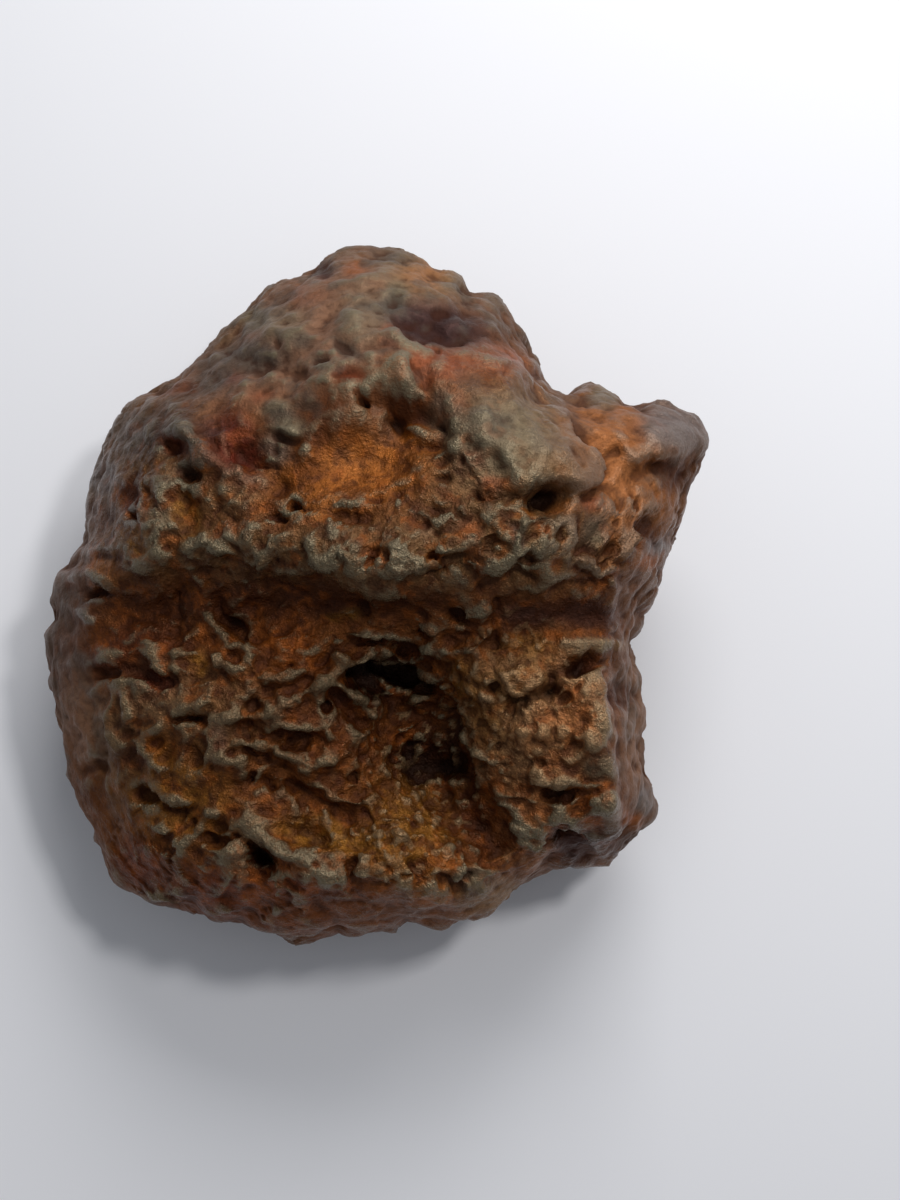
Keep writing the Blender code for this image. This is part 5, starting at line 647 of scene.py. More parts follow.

# Rust patches on the upper side, among them patches of painted shade in pits, grooves, recesses and under
# overhangs and one of painted light: the middle in plan, the half length, half breadth and turn of the oval,
# the colour, and how fully it covers
RUST_SHADE_AND_LIGHT_PATCHES = [
    # the far slope, with purple painted as shade in its hollow and its pit
    (-6, 34, 22, 9, 20, "pink tan", 0.8), (-19, 30, 8, 5, 40, "mauve", 0.6), (6, 40, 6, 2.6, -10, "tan", 0.8),
    (5.5, 40, 3, 2, 0, "orange tan", 0.5), (2.2, 38, 1.7, 1.6, 0, "grey olive", 0.9),
    (7, 34, 7.5, 3, -12, "purple", 1.0), (7, 34.4, 6.5, 2, -12, "purple", 0.9),
    (1.2, 32, 1.3, 1.8, 0, "salmon", 0.9), (7, 28.6, 5, 2.4, 0, "salmon", 0.9),
    (8, 29.5, 4, 1.6, 0, "red brown", 0.4),
    (14, 29.5, 4.5, 2, -10, "salmon", 0.8), (1.6, 28.8, 1, 1, 0, "bright orange", 0.9),
    (-7.2, 40.6, 1.6, 1.3, 20, "purple", 0.9), (-3.2, 40.8, 1.6, 1.2, 0, "rust orange", 0.6),
    (-9.5, 37.5, 3.5, 1.6, 20, "salmon", 0.3), (-24.5, 25.6, 3.5, 1, 10, "crimson", 0.5),
    (-19.5, 27.5, 2, 1, 10, "crimson", 0.5), (-14.5, 24.8, 1.6, 1.2, 0, "salmon", 0.6),
    (-3.8, 27.4, 2.5, 1.2, -10, "red brown", 0.9), (-15.5, 34.6, 2, 1.5, 0, "grey olive", 0.8),
    (-13, 23.4, 2, 1.5, 0, "grey olive", 0.8), (-16.2, 30.2, 4.5, 1.8, 0, "slate", 0.8),
    (-7.5, 29.1, 1.6, 1, -30, "slate", 0.9), (-4.1, 30.6, 2.4, 0.9, -35, "slate", 0.8),
    (1.6, 36.9, 1.8, 1.4, 0, "slate", 0.8), (-21, 27, 2.5, 1.5, 30, "slate", 0.6),
    (-10, 32, 1.6, 1.1, 0, "slate", 0.7),
    (-12, 37, 2.2, 1, 35, "slate", 0.6), (1, 42.5, 3, 1.4, 0, "slate", 0.5),
    (11, 39, 2, 2.4, -40, "slate", 0.5), (-12.1, 22.2, 2.2, 1.4, 0, "slate", 0.8),
    (-2, 35, 3, 4, 0, "grey olive", 0.5), (-12, 34, 3, 2, 20, "grey olive", 0.5),
    (-20, 33, 3, 2, 40, "olive brown", 0.6),
    # the right upper mass
    (18, 10, 14, 9, 0, "olive brown", 0.8), (16, 19, 9, 7, 0, "tan", 0.6),
    (15, 20, 7, 5.5, 0, "grey olive", 0.85), (13, 21, 3, 2.5, 0, "slate", 0.5),
    (11.5, 17, 1.5, 1, 0, "salmon", 0.5),
    (14, 14, 1.8, 1, 0, "salmon", 0.6), (16.5, 14, 1.4, 0.8, 0, "rust orange", 0.6),
    (17.9, 11, 2, 1.6, 0, "bright orange", 0.9), (23.8, 11.2, 1.6, 1, 0, "bright orange", 0.9),
    (11.2, 7.8, 1.8, 2, 0, "salmon", 0.8), (5.5, 8.2, 1.8, 1, 0, "pink tan", 0.7),
    (17.3, 6.6, 1, 2.4, 15, "lilac grey", 0.8), (20.5, 8, 1.4, 0.8, 0, "rust orange", 0.8),
    (23.7, 6.2, 1.1, 1, 0, "rust orange", 0.8),
    # the orange pocket, with dark brown painted as shade on its shaded upper slope and under its lip
    (-7, 21.5, 3, 5, -25, "dark brown", 0.75), (-2.5, 15.8, 9.5, 4.6, 18, "bright orange", 1.0),
    (-10, 15, 3, 4, 40, "amber", 0.7),
    (3.5, 24.4, 4.4, 1.9, -15, "dark brown", 0.9), (4, 21.3, 3.2, 1.6, -5, "amber", 1.0),
    (8, 22, 2.4, 3, 30, "grey olive", 0.8), (8.5, 24, 2.2, 1.8, -30, "pink tan", 0.7),
    (-11.2, 21, 2, 1.4, 0, "grey olive", 0.8),
    (-8, 9.9, 3, 1, -5, "bright orange", 0.9), (-12, 8.5, 2.2, 0.9, 0, "rust orange", 0.8),
    # the lobe behind the notch, with purple painted as shade in its groove and dark brown in its pit
    (28, 20, 5.5, 5, 0, "orange tan", 0.9), (31.5, 12.5, 5.5, 5, 0, "orange tan", 0.9),
    (28, 24.8, 2, 1.4, 0, "grey olive", 0.8), (36.8, 21, 4.5, 3, -20, "lilac grey", 0.8),
    (37, 15, 2.2, 2.2, 0, "purple", 0.6), (26.8, 11.5, 1.4, 1.1, 0, "salmon", 0.8),
    (27.2, 8, 1.6, 2.2, 0, "grey olive", 0.8), (33.3, 7.8, 1.6, 2, 0, "dark brown", 0.9),
    (33.5, 4.1, 1.5, 1, 0, "rust orange", 0.8), (35, 6, 1.4, 1, 30, "lilac grey", 0.8),
    # the left shoulder
    (-33, 19, 5, 4, 0, "mauve", 0.8), (-38, 8, 3, 12, 0, "mauve", 0.7), (-35, 14, 2, 4, 0, "slate", 0.6),
    (-28, 14, 12, 12, 0, "olive brown", 0.6), (-24.1, 15.6, 1.5, 1.5, 0, "slate", 0.8),
    (-26, 21, 4, 3, 20, "purple", 0.6),
    (-18.4, 18.8, 3.4, 4.6, 15, "crimson", 0.85), (-13, 18.5, 2, 2.4, 0, "slate", 0.8),
    (-30, 20, 4, 3, 0, "slate", 0.7), (-34.5, 15, 1.8, 2.5, 0, "lilac grey", 0.7),
    (-35, 10, 2, 2.5, 0, "mauve", 0.8), (-31, 12, 1.5, 2.5, 0, "red brown", 0.8),
    (-29, 10, 0.9, 2.5, 0, "rust orange", 0.7), (-30, 6, 1.6, 1.4, 0, "ochre", 0.8),
    (-27, 9, 1.2, 2.5, 0, "grey olive", 0.8), (-24.2, 10.5, 1.5, 3.8, 5, "ochre", 0.8),
    (-25.8, 18.7, 2, 1.2, -30, "crimson", 0.7), (-21, 20.5, 2, 1.6, 0, "purple", 0.7),
    (-16.8, 17, 2.4, 1.8, 0, "crimson", 0.7), (-16, 14, 2, 1.3, 0, "pink tan", 0.7),
    (-18, 12, 2.8, 1.5, 0, "tan", 0.7),
    (-18.6, 7.8, 1.6, 1.3, 0, "salmon", 0.6), (-34, 3.4, 2.6, 1.3, 0, "orange tan", 0.8),
    # the crest
    (-2, 5, 30, 5, 0, "olive brown", 0.75), (6.7, 4.6, 1.2, 1, 0, "amber", 0.9),
    (-1, 2, 2.4, 1.2, 0, "tan", 0.7), (-1, 4.5, 1.4, 1.6, 0, "rust orange", 0.7),
    (12.8, 2.8, 1.2, 0.8, 0, "red brown", 0.7),
    # the foot of the crest, in shadow: its dark brown and purple are painted shade, its amber spot is its own
    # colour
    (-15, -0.8, 24, 2.6, 0, "dark brown", 0.9), (-23.5, 1.3, 2, 1.1, 0, "amber", 0.8),
    (18.5, -2.5, 4, 1.8, 0, "purple", 0.8), (26, -2.5, 4, 1.8, 0, "purple", 0.8),
    # the left band
    (-37, -8, 4, 1.4, 0, "purple", 0.6), (-36, -24, 2, 2.4, 0, "dark brown", 0.6),
    (-37.5, -12.5, 2, 1.6, 0, "slate", 0.6),
    (-39.5, -5, 2.5, 12, 0, "mauve", 0.9), (-37, -16, 3.5, 6, 10, "pink tan", 0.8),
    # the left and the middle of the basin
    (-30, -9, 6, 6, 0, "red brown", 0.7), (-21, -14, 8, 6, -20, "olive brown", 0.6),
    (-26, -25, 9, 6, -30, "ochre", 0.6),
    (-10, -15, 7, 5, -15, "dark brown", 0.5), (-33, -18, 3, 7, 15, "olive brown", 0.6),
    (-29, -12.5, 4.5, 4.5, 0, "tan", 0.6), (-28.5, -10.5, 3, 1.6, -15, "crimson", 0.8),
    (-11, -6, 3.6, 3, -20, "rust orange", 0.9),
    (-22.8, -8.5, 1.2, 1.8, 0, "ochre", 0.8), (-28.3, -18.7, 1.4, 1.2, 0, "amber", 0.9),
    (-31, -20.7, 2.4, 1.6, 0, "dark brown", 0.8), (-23.5, -16.2, 2.2, 0.8, 0, "rust orange", 0.8),
    (-2.2, -13.3, 1.4, 1.6, 0, "rust orange", 0.8), (-20, -18, 1.2, 2.4, 0, "pink tan", 0.7),
    (-4.8, -2.5, 2, 0.9, 0, "ochre", 0.9),
    # the deep pit: black brown painted as shade in its two hollows, beside its own brown, ochre and orange
    (7.5, -14, 3, 6, 0, "brown", 0.8), (10.6, -12, 2.8, 4.4, 10, "ochre", 0.8),
    (0.3, -11.2, 5, 2.8, 0, "black brown", 1.0),
    (6, -20.5, 4.6, 3, -15, "black brown", 1.0), (3.4, -17.6, 1.3, 1.2, 0, "rust orange", 0.9),
    # the right of the basin: the sand on its crumbs is made paler as painted light, and the black brown in
    # its slot is painted shade
    (18, -7, 3.8, 2.2, 0, "ochre", 0.9), (18, -15.5, 8, 8.5, 0, "lit sand", 0.85),
    (13.5, -15, 3, 5, 0, "ochre", 0.5), (19, -17.5, 3, 2.4, 0, "orange tan", 0.6),
    (25, -15, 3.8, 5, 0, "orange tan", 0.9),
    (17.6, -10.7, 3.4, 2.3, -8, "tan", 0.7), (17.6, -10.7, 3.4, 2.3, -8, "ochre", 0.4),
    (26.5, -6.2, 3.8, 0.9, 0, "tan", 0.9), (25.2, -8.7, 2.5, 1.1, 10, "black brown", 1.0),
    (27.3, -21.5, 2, 1.6, 0, "grey olive", 0.8), (28, -16.8, 0.8, 1.4, 0, "grey olive", 0.8),
    # the right rim and the ledge outside it, with dark brown, purple and black brown painted as shade in its
    # pits and recesses
    (31.8, -15.5, 1.8, 9, 0, "pink tan", 0.9), (30, -12.7, 1.8, 2, 0, "dark brown", 0.9),
    (31.4, -28, 1.4, 1.2, 0, "rust orange", 0.8), (33, -25.5, 1.2, 1.8, 0, "lilac grey", 0.8),
    (29.5, -31, 3, 2.6, 0, "purple", 0.6), (24.2, -31.4, 3.2, 2.4, 20, "purple", 0.95),
    (22.3, -25.6, 1.4, 1, 0, "black brown", 1.0), (25.8, -26.3, 1.1, 0.9, 0, "rust orange", 0.8),
    # the front, with black brown painted as shade in its pit and dark brown in its deep groove
    (-14, -38, 14, 4, -4, "red brown", 0.9), (0, -40, 20, 3.4, 0, "brown", 0.7),
    (14, -37.5, 5, 2.5, 0, "tan", 0.7), (-6.5, -30, 7, 2.4, -8, "ochre", 1.0),
    (-16.2, -28.8, 2.5, 1.9, 10, "tan", 0.9),
    (-15.3, -35, 3.4, 3.4, 0, "rust orange", 0.8), (-15.4, -33.2, 1.6, 2.1, 10, "black brown", 1.0),
    (4, -29, 6.5, 7, 0, "ochre", 0.8), (18.5, -29, 3.8, 5, 0, "orange tan", 0.8),
    (11.5, -27.5, 1.8, 5, 35, "dark brown", 0.9), (7.2, -37.4, 3, 1, 0, "bright orange", 0.8),
    (11.5, -35.6, 2.4, 1.8, 0, "grey olive", 0.7), (-30, -33.5, 3.4, 2.8, -30, "red brown", 0.8),
    (-26.5, -38, 2, 1.1, 0, "mauve", 0.8),
]

# Iron patches: what the high spots are worn to, laid down in the same way; the purple one is painted shade in
# the far slope's hollow, and the sand one is made paler as painted light
IRON_SHADE_AND_LIGHT_PATCHES = [
    (0, 32, 34, 16, 0, "grey olive", 0.8), (7, 34, 7, 3, -12, "purple", 1.0),
    (31, 14, 10, 14, 0, "pink tan", 0.8), (-22, 19, 5, 5, 0, "slate", 0.8),
    (-18.6, 17.5, 3, 3.6, 15, "red brown", 0.7), (36.8, 21, 4.5, 3, -20, "lilac grey", 0.8),
    (-34, 14, 5, 10, 10, "lilac grey", 0.8), (-39, -8, 4, 18, 0, "lilac grey", 0.8),
    (31.5, -16, 3, 14, 0, "pink tan", 0.8),
    (-16, -15, 22, 17, -10, "olive brown", 0.45), (20, -14, 8, 10, 0, "lit sand", 0.8),
    (3, -28, 7, 9, 0, "tan", 0.7), (29.5, -31, 4, 3, 0, "slate", 0.9),
]


def plan_direction():
    """The unit vectors of the plan: to its right, up it, and from it to the eye."""
    right = np.array([1.0, 0.0, 0.0])
    up = np.array([0.0, math.cos(EYE_TILT), math.sin(EYE_TILT)])
    out = np.array([0.0, -math.sin(EYE_TILT), math.cos(EYE_TILT)])
    return right, up, out


def eye_point():
    """Where the eye is."""
    right, up, out = plan_direction()
    return np.array([0.0, 0.0, EYE_LEVEL]) + EYE_AIM[0] * right + EYE_AIM[1] * up + EYE_DISTANCE * out


def real_point(u, v, height):
    """The point at this height that the eye sees at u, v of the plan."""
    right, up, _ = plan_direction()
    eye = eye_point()
    on_plan = np.array([0.0, 0.0, EYE_LEVEL]) + np.outer(u, right) + np.outer(v, up)
    share = (eye[2] - height) / (eye[2] - on_plan[:, 2])
    return eye + (on_plan - eye) * share[:, None]


def direction(azimuth, elevation):
    """The unit vector this many degrees round and this many degrees up."""
    azimuth = math.radians(azimuth)
    elevation = math.radians(elevation)
    level = math.cos(elevation)
    return np.array([level * math.cos(azimuth), level * math.sin(azimuth), math.sin(elevation)])


def within(away):
    """A share that is 1 in the middle and fades away where the distance passes 1."""
    return np.exp(-away ** REGION_RIM)


def near_edge(below_edge):
    """A share that is 1 at the edge and fades away below it."""
    return np.exp(-(below_edge / WIGGLE_DEPTH) ** 2)


def outline_radius():
    """Distance from the plan's centre to the outline at every degree, as drawn and smoothed."""
    points = np.array(OUTLINE) - PLAN_CENTRE
    angles = np.arctan2(points[:, 1], points[:, 0])
    radii = np.hypot(points[:, 0], points[:, 1])
    order = np.argsort(angles)
    round_about = np.radians(np.arange(-180, 180))
    drawn = np.interp(round_about, angles[order], radii[order], period=2 * math.pi)
    apart = (round_about[:, None] - round_about + math.pi) % (2 * math.pi) - math.pi
    nearness = np.exp(-(apart / OUTLINE_SMOOTHING) ** 2)
    return round_about, drawn, nearness @ drawn / nearness.sum(axis=1)


def through_spots(spots, u, v):
    """A smooth sheet through the heights of the spots, read at u, v: a thin plate spline."""
    spots = np.array(spots, float)

    def bend(distance_squared):
        return 0.5 * distance_squared * np.log(distance_squared + LEAST_SQUARE)

    def flat_terms(x, y):
        return np.stack([np.ones_like(x), x, y], axis=1)

    x, y, height = spots.T
    count = len(spots)
    apart = (x[:, None] - x) ** 2 + (y[:, None] - y) ** 2
    system = np.zeros((count + 3, count + 3))
    system[:count, :count] = bend(apart) + np.eye(count)
    system[:count, count:] = flat_terms(x, y)
    system[count:, :count] = flat_terms(x, y).T
    weights = np.linalg.solve(system, np.append(height, [0, 0, 0]))
    reach = (u[:, None] - x) ** 2 + (v[:, None] - y) ** 2
    return bend(reach) @ weights[:count] + flat_terms(u, v) @ weights[count:]


def ball_grid(cells):
    """A cube of square cells blown up to a unit ball: its directions and its faces."""
    mesh = bmesh.new()
    bmesh.ops.create_cube(mesh, size=2.0)
    bmesh.ops.subdivide_edges(mesh, edges=mesh.edges[:], cuts=cells - 1, use_grid_fill=True)
    mesh.verts.index_update()
    cube = np.array([vertex.co[:] for vertex in mesh.verts])
    faces = np.array([[vertex.index for vertex in face.verts] for face in mesh.faces])
    mesh.free()
    cube = np.tan(cube * math.pi / 4)
    return cube / np.linalg.norm(cube, axis=1)[:, None], faces


def plain_lump(directions):
    """The lump without its relief, for the directions of a unit ball: its points, u, v, and how far down."""
    from_top = np.arccos(np.clip(directions[:, 2], -1, 1))
    angle = np.arctan2(directions[:, 1], directions[:, 0])
    degrees, drawn, smoothed = outline_radius()
    smooth_radius = np.interp(angle, degrees, smoothed, period=2 * math.pi)
    wiggle = np.interp(angle, degrees, drawn, period=2 * math.pi) - smooth_radius
    edge_u = PLAN_CENTRE[0] + smooth_radius * np.cos(angle)
    edge_v = PLAN_CENTRE[1] + smooth_radius * np.sin(angle)
    edge_height = through_spots(EDGE_HEIGHTS, edge_u, edge_v)

    # The upper face: even steps out to the shoulder, then even steps round it
    way = np.minimum(from_top / OUTLINE_ANGLE, 1)
    turn = np.clip((way - SHOULDER_START) / (1 - SHOULDER_START), 0, 1) * math.pi / 2
    width = np.interp(np.degrees(angle), *np.array(SHOULDER_WIDTHS).T)
    inner = way / SHOULDER_START * (smooth_radius - width)
    outer = smooth_radius - width * (1 - np.sin(turn))
    reach = np.where(way < SHOULDER_START, inner, outer) + wiggle * np.sin(turn) ** WIGGLE_ONSET
    u = PLAN_CENTRE[0] + reach * np.cos(angle)
    v = PLAN_CENTRE[1] + reach * np.sin(angle)
    top = edge_height + (through_spots(FACE_HEIGHTS, u, v) - edge_height) * np.cos(turn)
    upper = real_point(u, v, top)

    # The underside: a belly from the edge down to the flat spot, on which the outline's wiggles die away
    turn = np.clip((math.pi - from_top) / (math.pi - OUTLINE_ANGLE), 0, 1) * math.pi / 2
    below_edge = edge_height * np.cos(turn) ** UNDERSIDE_STEEPNESS
    wiggle_left = wiggle * near_edge(below_edge)
    edge_u += wiggle_left * np.cos(angle)
    edge_v += wiggle_left * np.sin(angle)
    edge = real_point(edge_u, edge_v, edge_height)
    flat_spot = np.array([*FLAT_SPOT, 0.0])
    lower = flat_spot + (edge - flat_spot) * (np.sin(turn) ** UNDERSIDE_FULLNESS)[:, None]
    lower[:, 2] = edge_height - below_edge - FLAT_SPOT_CUT

    is_upper = from_top <= OUTLINE_ANGLE
    return np.where(is_upper[:, None], upper, lower), u, v, np.where(is_upper, 0, below_edge)


def outward(points, faces):
    """The direction out of the surface at each point."""
    corners = points[faces]
    across = np.cross(corners[:, 2] - corners[:, 0], corners[:, 3] - corners[:, 1])
    normals = np.zeros_like(points)
    for corner in range(4):
        np.add.at(normals, faces[:, corner], across)
    return normals / np.linalg.norm(normals, axis=1)[:, None]


def dent_depth(points):
    """The depth of the thumbprint dents at each point."""
    middle = np.array([0.0, 0.0, EYE_LEVEL])
    sight = points - middle
    sight /= np.linalg.norm(sight, axis=1)[:, None]
    total = np.zeros(len(points))
    for azimuth, elevation, radius, depth in DENTS:
        centre = points[np.argmax(sight @ direction(azimuth, elevation))]
        distance = np.linalg.norm(points - centre, axis=1)
        total += depth * np.exp(-(distance / radius) ** DENT_RIM)
    return total


def oval(u, v, place_u, place_v, length, breadth, turn):
    """How far each place is from an oval's middle, as a share of the oval's size that way."""
    turn = math.radians(turn)
    along = ((u - place_u) * math.cos(turn) + (v - place_v) * math.sin(turn)) / length
    across = ((v - place_v) * math.cos(turn) - (u - place_u) * math.sin(turn)) / breadth
    return np.hypot(along, across)


def ridge_height(u, v, height, left, right, line):
    """A ridge's height at each place: highest on its line, with a side of its own width to each hand."""
    nearest = np.full(len(u), np.inf)
    hand = np.zeros(len(u))
    for (start_u, start_v), (end_u, end_v) in zip(line, line[1:]):
        along_u = end_u - start_u
        along_v = end_v - start_v
        share = ((u - start_u) * along_u + (v - start_v) * along_v) / (along_u ** 2 + along_v ** 2)
        share = np.clip(share, 0, 1)
        off_u = u - start_u - share * along_u
        off_v = v - start_v - share * along_v
        distance = np.hypot(off_u, off_v)
        closer = distance < nearest
        hand = np.where(closer, along_u * off_v - along_v * off_u, hand)
        nearest = np.where(closer, distance, nearest)
    width = np.where(hand > 0, left, right) * RIDGE_SPREAD
    return height * np.exp(-(nearest / width) ** RIDGE_POINT)


def waves(points, size):
    """Smooth noise from -1 to 1 with waves of this size."""
    return np.array([noise.noise(Vector(point)) for point in points / size])


def bent(points, push, size):
    """The points pushed to and fro by waves of this size."""
    return points + push * waves(points, size)[:, None]


def cell_round(point):
    """The cell round a point: its middle, the distances to that and to the next one, and its own number."""
    distances, middles = noise.voronoi(Vector(point))
    return middles[0], distances, noise.cell(middles[0] * CELL_STRETCH)


def held_down(height, most):
    """Heights above 0 rounded off towards the most that they may be, so no spike stands up."""
    return np.where(height > 0, most * np.tanh(height / most), height)


def relief(u, v):
    """The height of all ridges and knobs together at each place of the plan."""
    plan = np.stack([u, v, np.zeros(len(u))], axis=1)
    for size, push in WAVERS:
        u = u + push * waves(plan + WAVER_APART, size)
        v = v + push * waves(plan - WAVER_APART, size)
    ridges = np.zeros(len(u))
    for height, *shape in RIDGES:
        raised = min(abs(height) * RIDGE_RISE, max(abs(height), TALL))
        ridges += ridge_height(u, v, math.copysign(raised, height), *shape)
    knobs = np.zeros(len(u))
    for *place, height, steepness in KNOBS:
        knobs += height * np.exp(-oval(u, v, *place) ** steepness)
    return held_down(ridges * (1 + FADING * waves(plan, FADING_SIZE)) + knobs, MOST_RAISED)


def texture_share(kind, u, v):
    """How strong this kind of fine relief is at each place of the plan."""
    share = np.zeros(len(u))
    for name, *place, strength in TEXTURES:
        if name == kind:
            share = np.maximum(share, strength * within(oval(u, v, *place)))
    return share


def evened(values):
    """The values about 0, with a usual size of 1."""
    return (values - values.mean()) / values.std()


def soft_texture(points):
    """Soft rounded lumps."""
    return evened(sum(waves(points, size) * height for size, height in SOFT_LUMPS))


def from_nothing(wave, softness):
    """How far a wave is from 0 either way, rounded off near 0."""
    return np.sqrt(wave ** 2 + softness ** 2)


def plate_texture(points, size):
    """Plates of about this size with broken edges, each at its own height and tilt."""
    heights = np.zeros(len(points))
    for index, point in enumerate(points / size):
        middle, _, number = cell_round(point)
        tilt = noise.cell_vector(middle * CELL_STRETCH) - Vector((0.5, 0.5, 0.5))
        heights[index] = tilt.dot(Vector(point) - middle) * PLATE_TILT + number
    return heights


def lump_texture(points):
    """Lumps with creases between them, on plates with broken edges."""
    lumps = sum(from_nothing(waves(points, size), CREASE_SOFTNESS) * height for size, height in LUMPS)
    pushed = bent(points, CRUMB_BEND, CRUMB_BEND_SIZE)
    plates = sum(plate_texture(pushed, size) * height for size, height in PLATES)
    return evened(evened(lumps) * LUMP_PART + evened(plates))


def fold_texture(points):
    """Folds that wind and branch, with finer ones on their sides."""
    pushed = bent(points, FOLD_BEND, FOLD_BEND_SIZE) * FOLD_STRETCH
    return evened(-sum(from_nothing(waves(pushed, size), FOLD_SOFTNESS) * height for size, height in FOLDS))


def crumb_cells(points, size):
    """For each point, how near it is to the middle of its crumb, and the crumb's own number from 0 to 1."""
    nearness = np.zeros(len(points))
    number = np.zeros(len(points))
    for index, point in enumerate(points / size):
        _, distances, number[index] = cell_round(point)
        nearness[index] = 1 - distances[0] / max(distances[1], LEAST_DISTANCE)
    return nearness, number


def crumb_texture(points):
    """Crumbs of uneven size and height with gaps between them, and each point's crumb's number."""
    total = np.zeros(len(points))
    pushed = bent(points, CRUMB_BEND, CRUMB_BEND_SIZE)
    for size, height in CRUMBS:
        nearness, number = crumb_cells(pushed, size)
        crumb = np.minimum(nearness * CRUMB_FLATNESS, 1) * (CRUMB_LOWEST + number)
        total += (crumb - CRUMB_LEVEL) * height
    return total, number


def pore_texture(points):
    """Small round holes here and there."""
    total = np.zeros(len(points))
    for index, point in enumerate(points / PORE_SIZE):
        _, distances, number = cell_round(point)
        if number < PORE_SHARE:
            total[index] = -PORE_DEPTH * math.exp(-(distances[0] / PORE_RADIUS) ** 2)
    return total


def lump_points(directions, faces):
    """The whole surface in millimetres from the origin, with what the colours need."""
    points, u, v, below_edge = plain_lump(directions)
    normals = outward(points, faces)
    below = 1 - near_edge(below_edge)
    from_flat_spot = np.linalg.norm(points[:, :2] - FLAT_SPOT, axis=1)
    off_flat = np.where(below_edge > 0, 1 - within(from_flat_spot / FLAT_SPOT_CALM), 1)
    facing = (normals @ plan_direction()[2] - RELIEF_GONE) / (RELIEF_WHOLE - RELIEF_GONE)
    facing = np.clip(facing, 0, 1) * (1 - below)
    raised = relief(u, v) * facing

    # Below the edge: big lumps and dents
    for size, height in SIDE_LUMPS:
        raised += waves(points, size) * height * below * off_flat
    raised -= dent_depth(points) * below * off_flat

    points = points + normals * raised[:, None]

    # Fine relief, out of the surface that this makes
    normals = normals + outward(points, faces)
    normals /= np.linalg.norm(normals, axis=1)[:, None]
    side = (1 - facing) * off_flat
    shares = {kind: texture_share(kind, u, v) * facing * TEXTURE_HEIGHTS[kind] for kind in TEXTURE_HEIGHTS}
    crumbs, number = crumb_texture(points)
    raised = soft_texture(points) * np.maximum(shares["soft"], side * TEXTURE_HEIGHTS["soft"])
    raised += lump_texture(points) * np.maximum(shares["lumps"], side * TEXTURE_HEIGHTS["lumps"] * SIDE_SHARE)
    raised += fold_texture(points) * shares["folds"]
    raised += crumbs * shares["crumbs"]
    raised += pore_texture(points) * np.maximum(shares["pores"], side * TEXTURE_HEIGHTS["pores"] * SIDE_SHARE)
    points = points + normals * held_down(raised, MOST_FINE)[:, None] - [*FLAT_SPOT, 0.0]
    points[:, 2] = np.maximum(points[:, 2], 0)
    return points, u, v, facing, 1 - below, texture_share("soft", u, v), shares["crumbs"], number


def add_object(name, data):
    """An object in the scene with this data."""
    added = bpy.data.objects.new(name, data)
    bpy.context.scene.collection.objects.link(added)
    return added


def build_mesh(name, points, faces):
    """A mesh object from points in millimetres."""
    data = bpy.data.meshes.new(name)
    data.from_pydata((points * MM).tolist(), [], faces.tolist())
    data.update()
    data.shade_smooth()
    return add_object(name, data)


def standing_out(points, faces, steps):
    """How far each point stands out of the surface evened out in this many steps: below 0 in a hollow."""
    edges = np.concatenate([faces[:, [0, 1]], faces[:, [1, 2]], faces[:, [2, 3]], faces[:, [3, 0]]])
    start, end = edges.T
    count = len(points)
    neighbours = np.bincount(start, minlength=count)
    smooth = points.copy()
    for _ in range(steps):
        for axis in range(3):
            total = np.bincount(start, weights=smooth[end, axis], minlength=count)
            smooth[:, axis] = (smooth[:, axis] + total / neighbours) / 2
    return ((points - smooth) * outward(smooth, faces)).sum(axis=1)


def linear(colour):
    """A colour from 0 to 255 as the shader's linear light, by the sRGB curve."""
    share = np.array(colour) / 255
    return np.where(share <= 0.04045, share / 12.92, ((share + 0.055) / 1.055) ** 2.4)


def laid_down(patches, plain_top, plain_side, u, v, facing, upper_share):
    """The colour at each point: the plain one of the top or the side, with each patch laid over it."""
    top, side = linear(COLOURS[plain_top]), linear(COLOURS[plain_side])
    colour = side + (top - side) * facing[:, None]
    for *place, name, cover in patches:
        share = (cover * within(oval(u, v, *place)) * upper_share)[:, None]
        colour += (linear(COLOURS[name]) - colour) * share
    return colour


def store(stone, name, values):
    """Keep a number or a colour for each point of the mesh."""
    if values.ndim == 1:
        attribute = stone.data.attributes.new(name, "FLOAT", "POINT")
        attribute.data.foreach_set("value", values.astype(np.float32))
    else:
        attribute = stone.data.attributes.new(name, "FLOAT_COLOR", "POINT")
        rgba = np.column_stack([values, np.ones(len(values))])
        attribute.data.foreach_set("color", rgba.astype(np.float32).ravel())


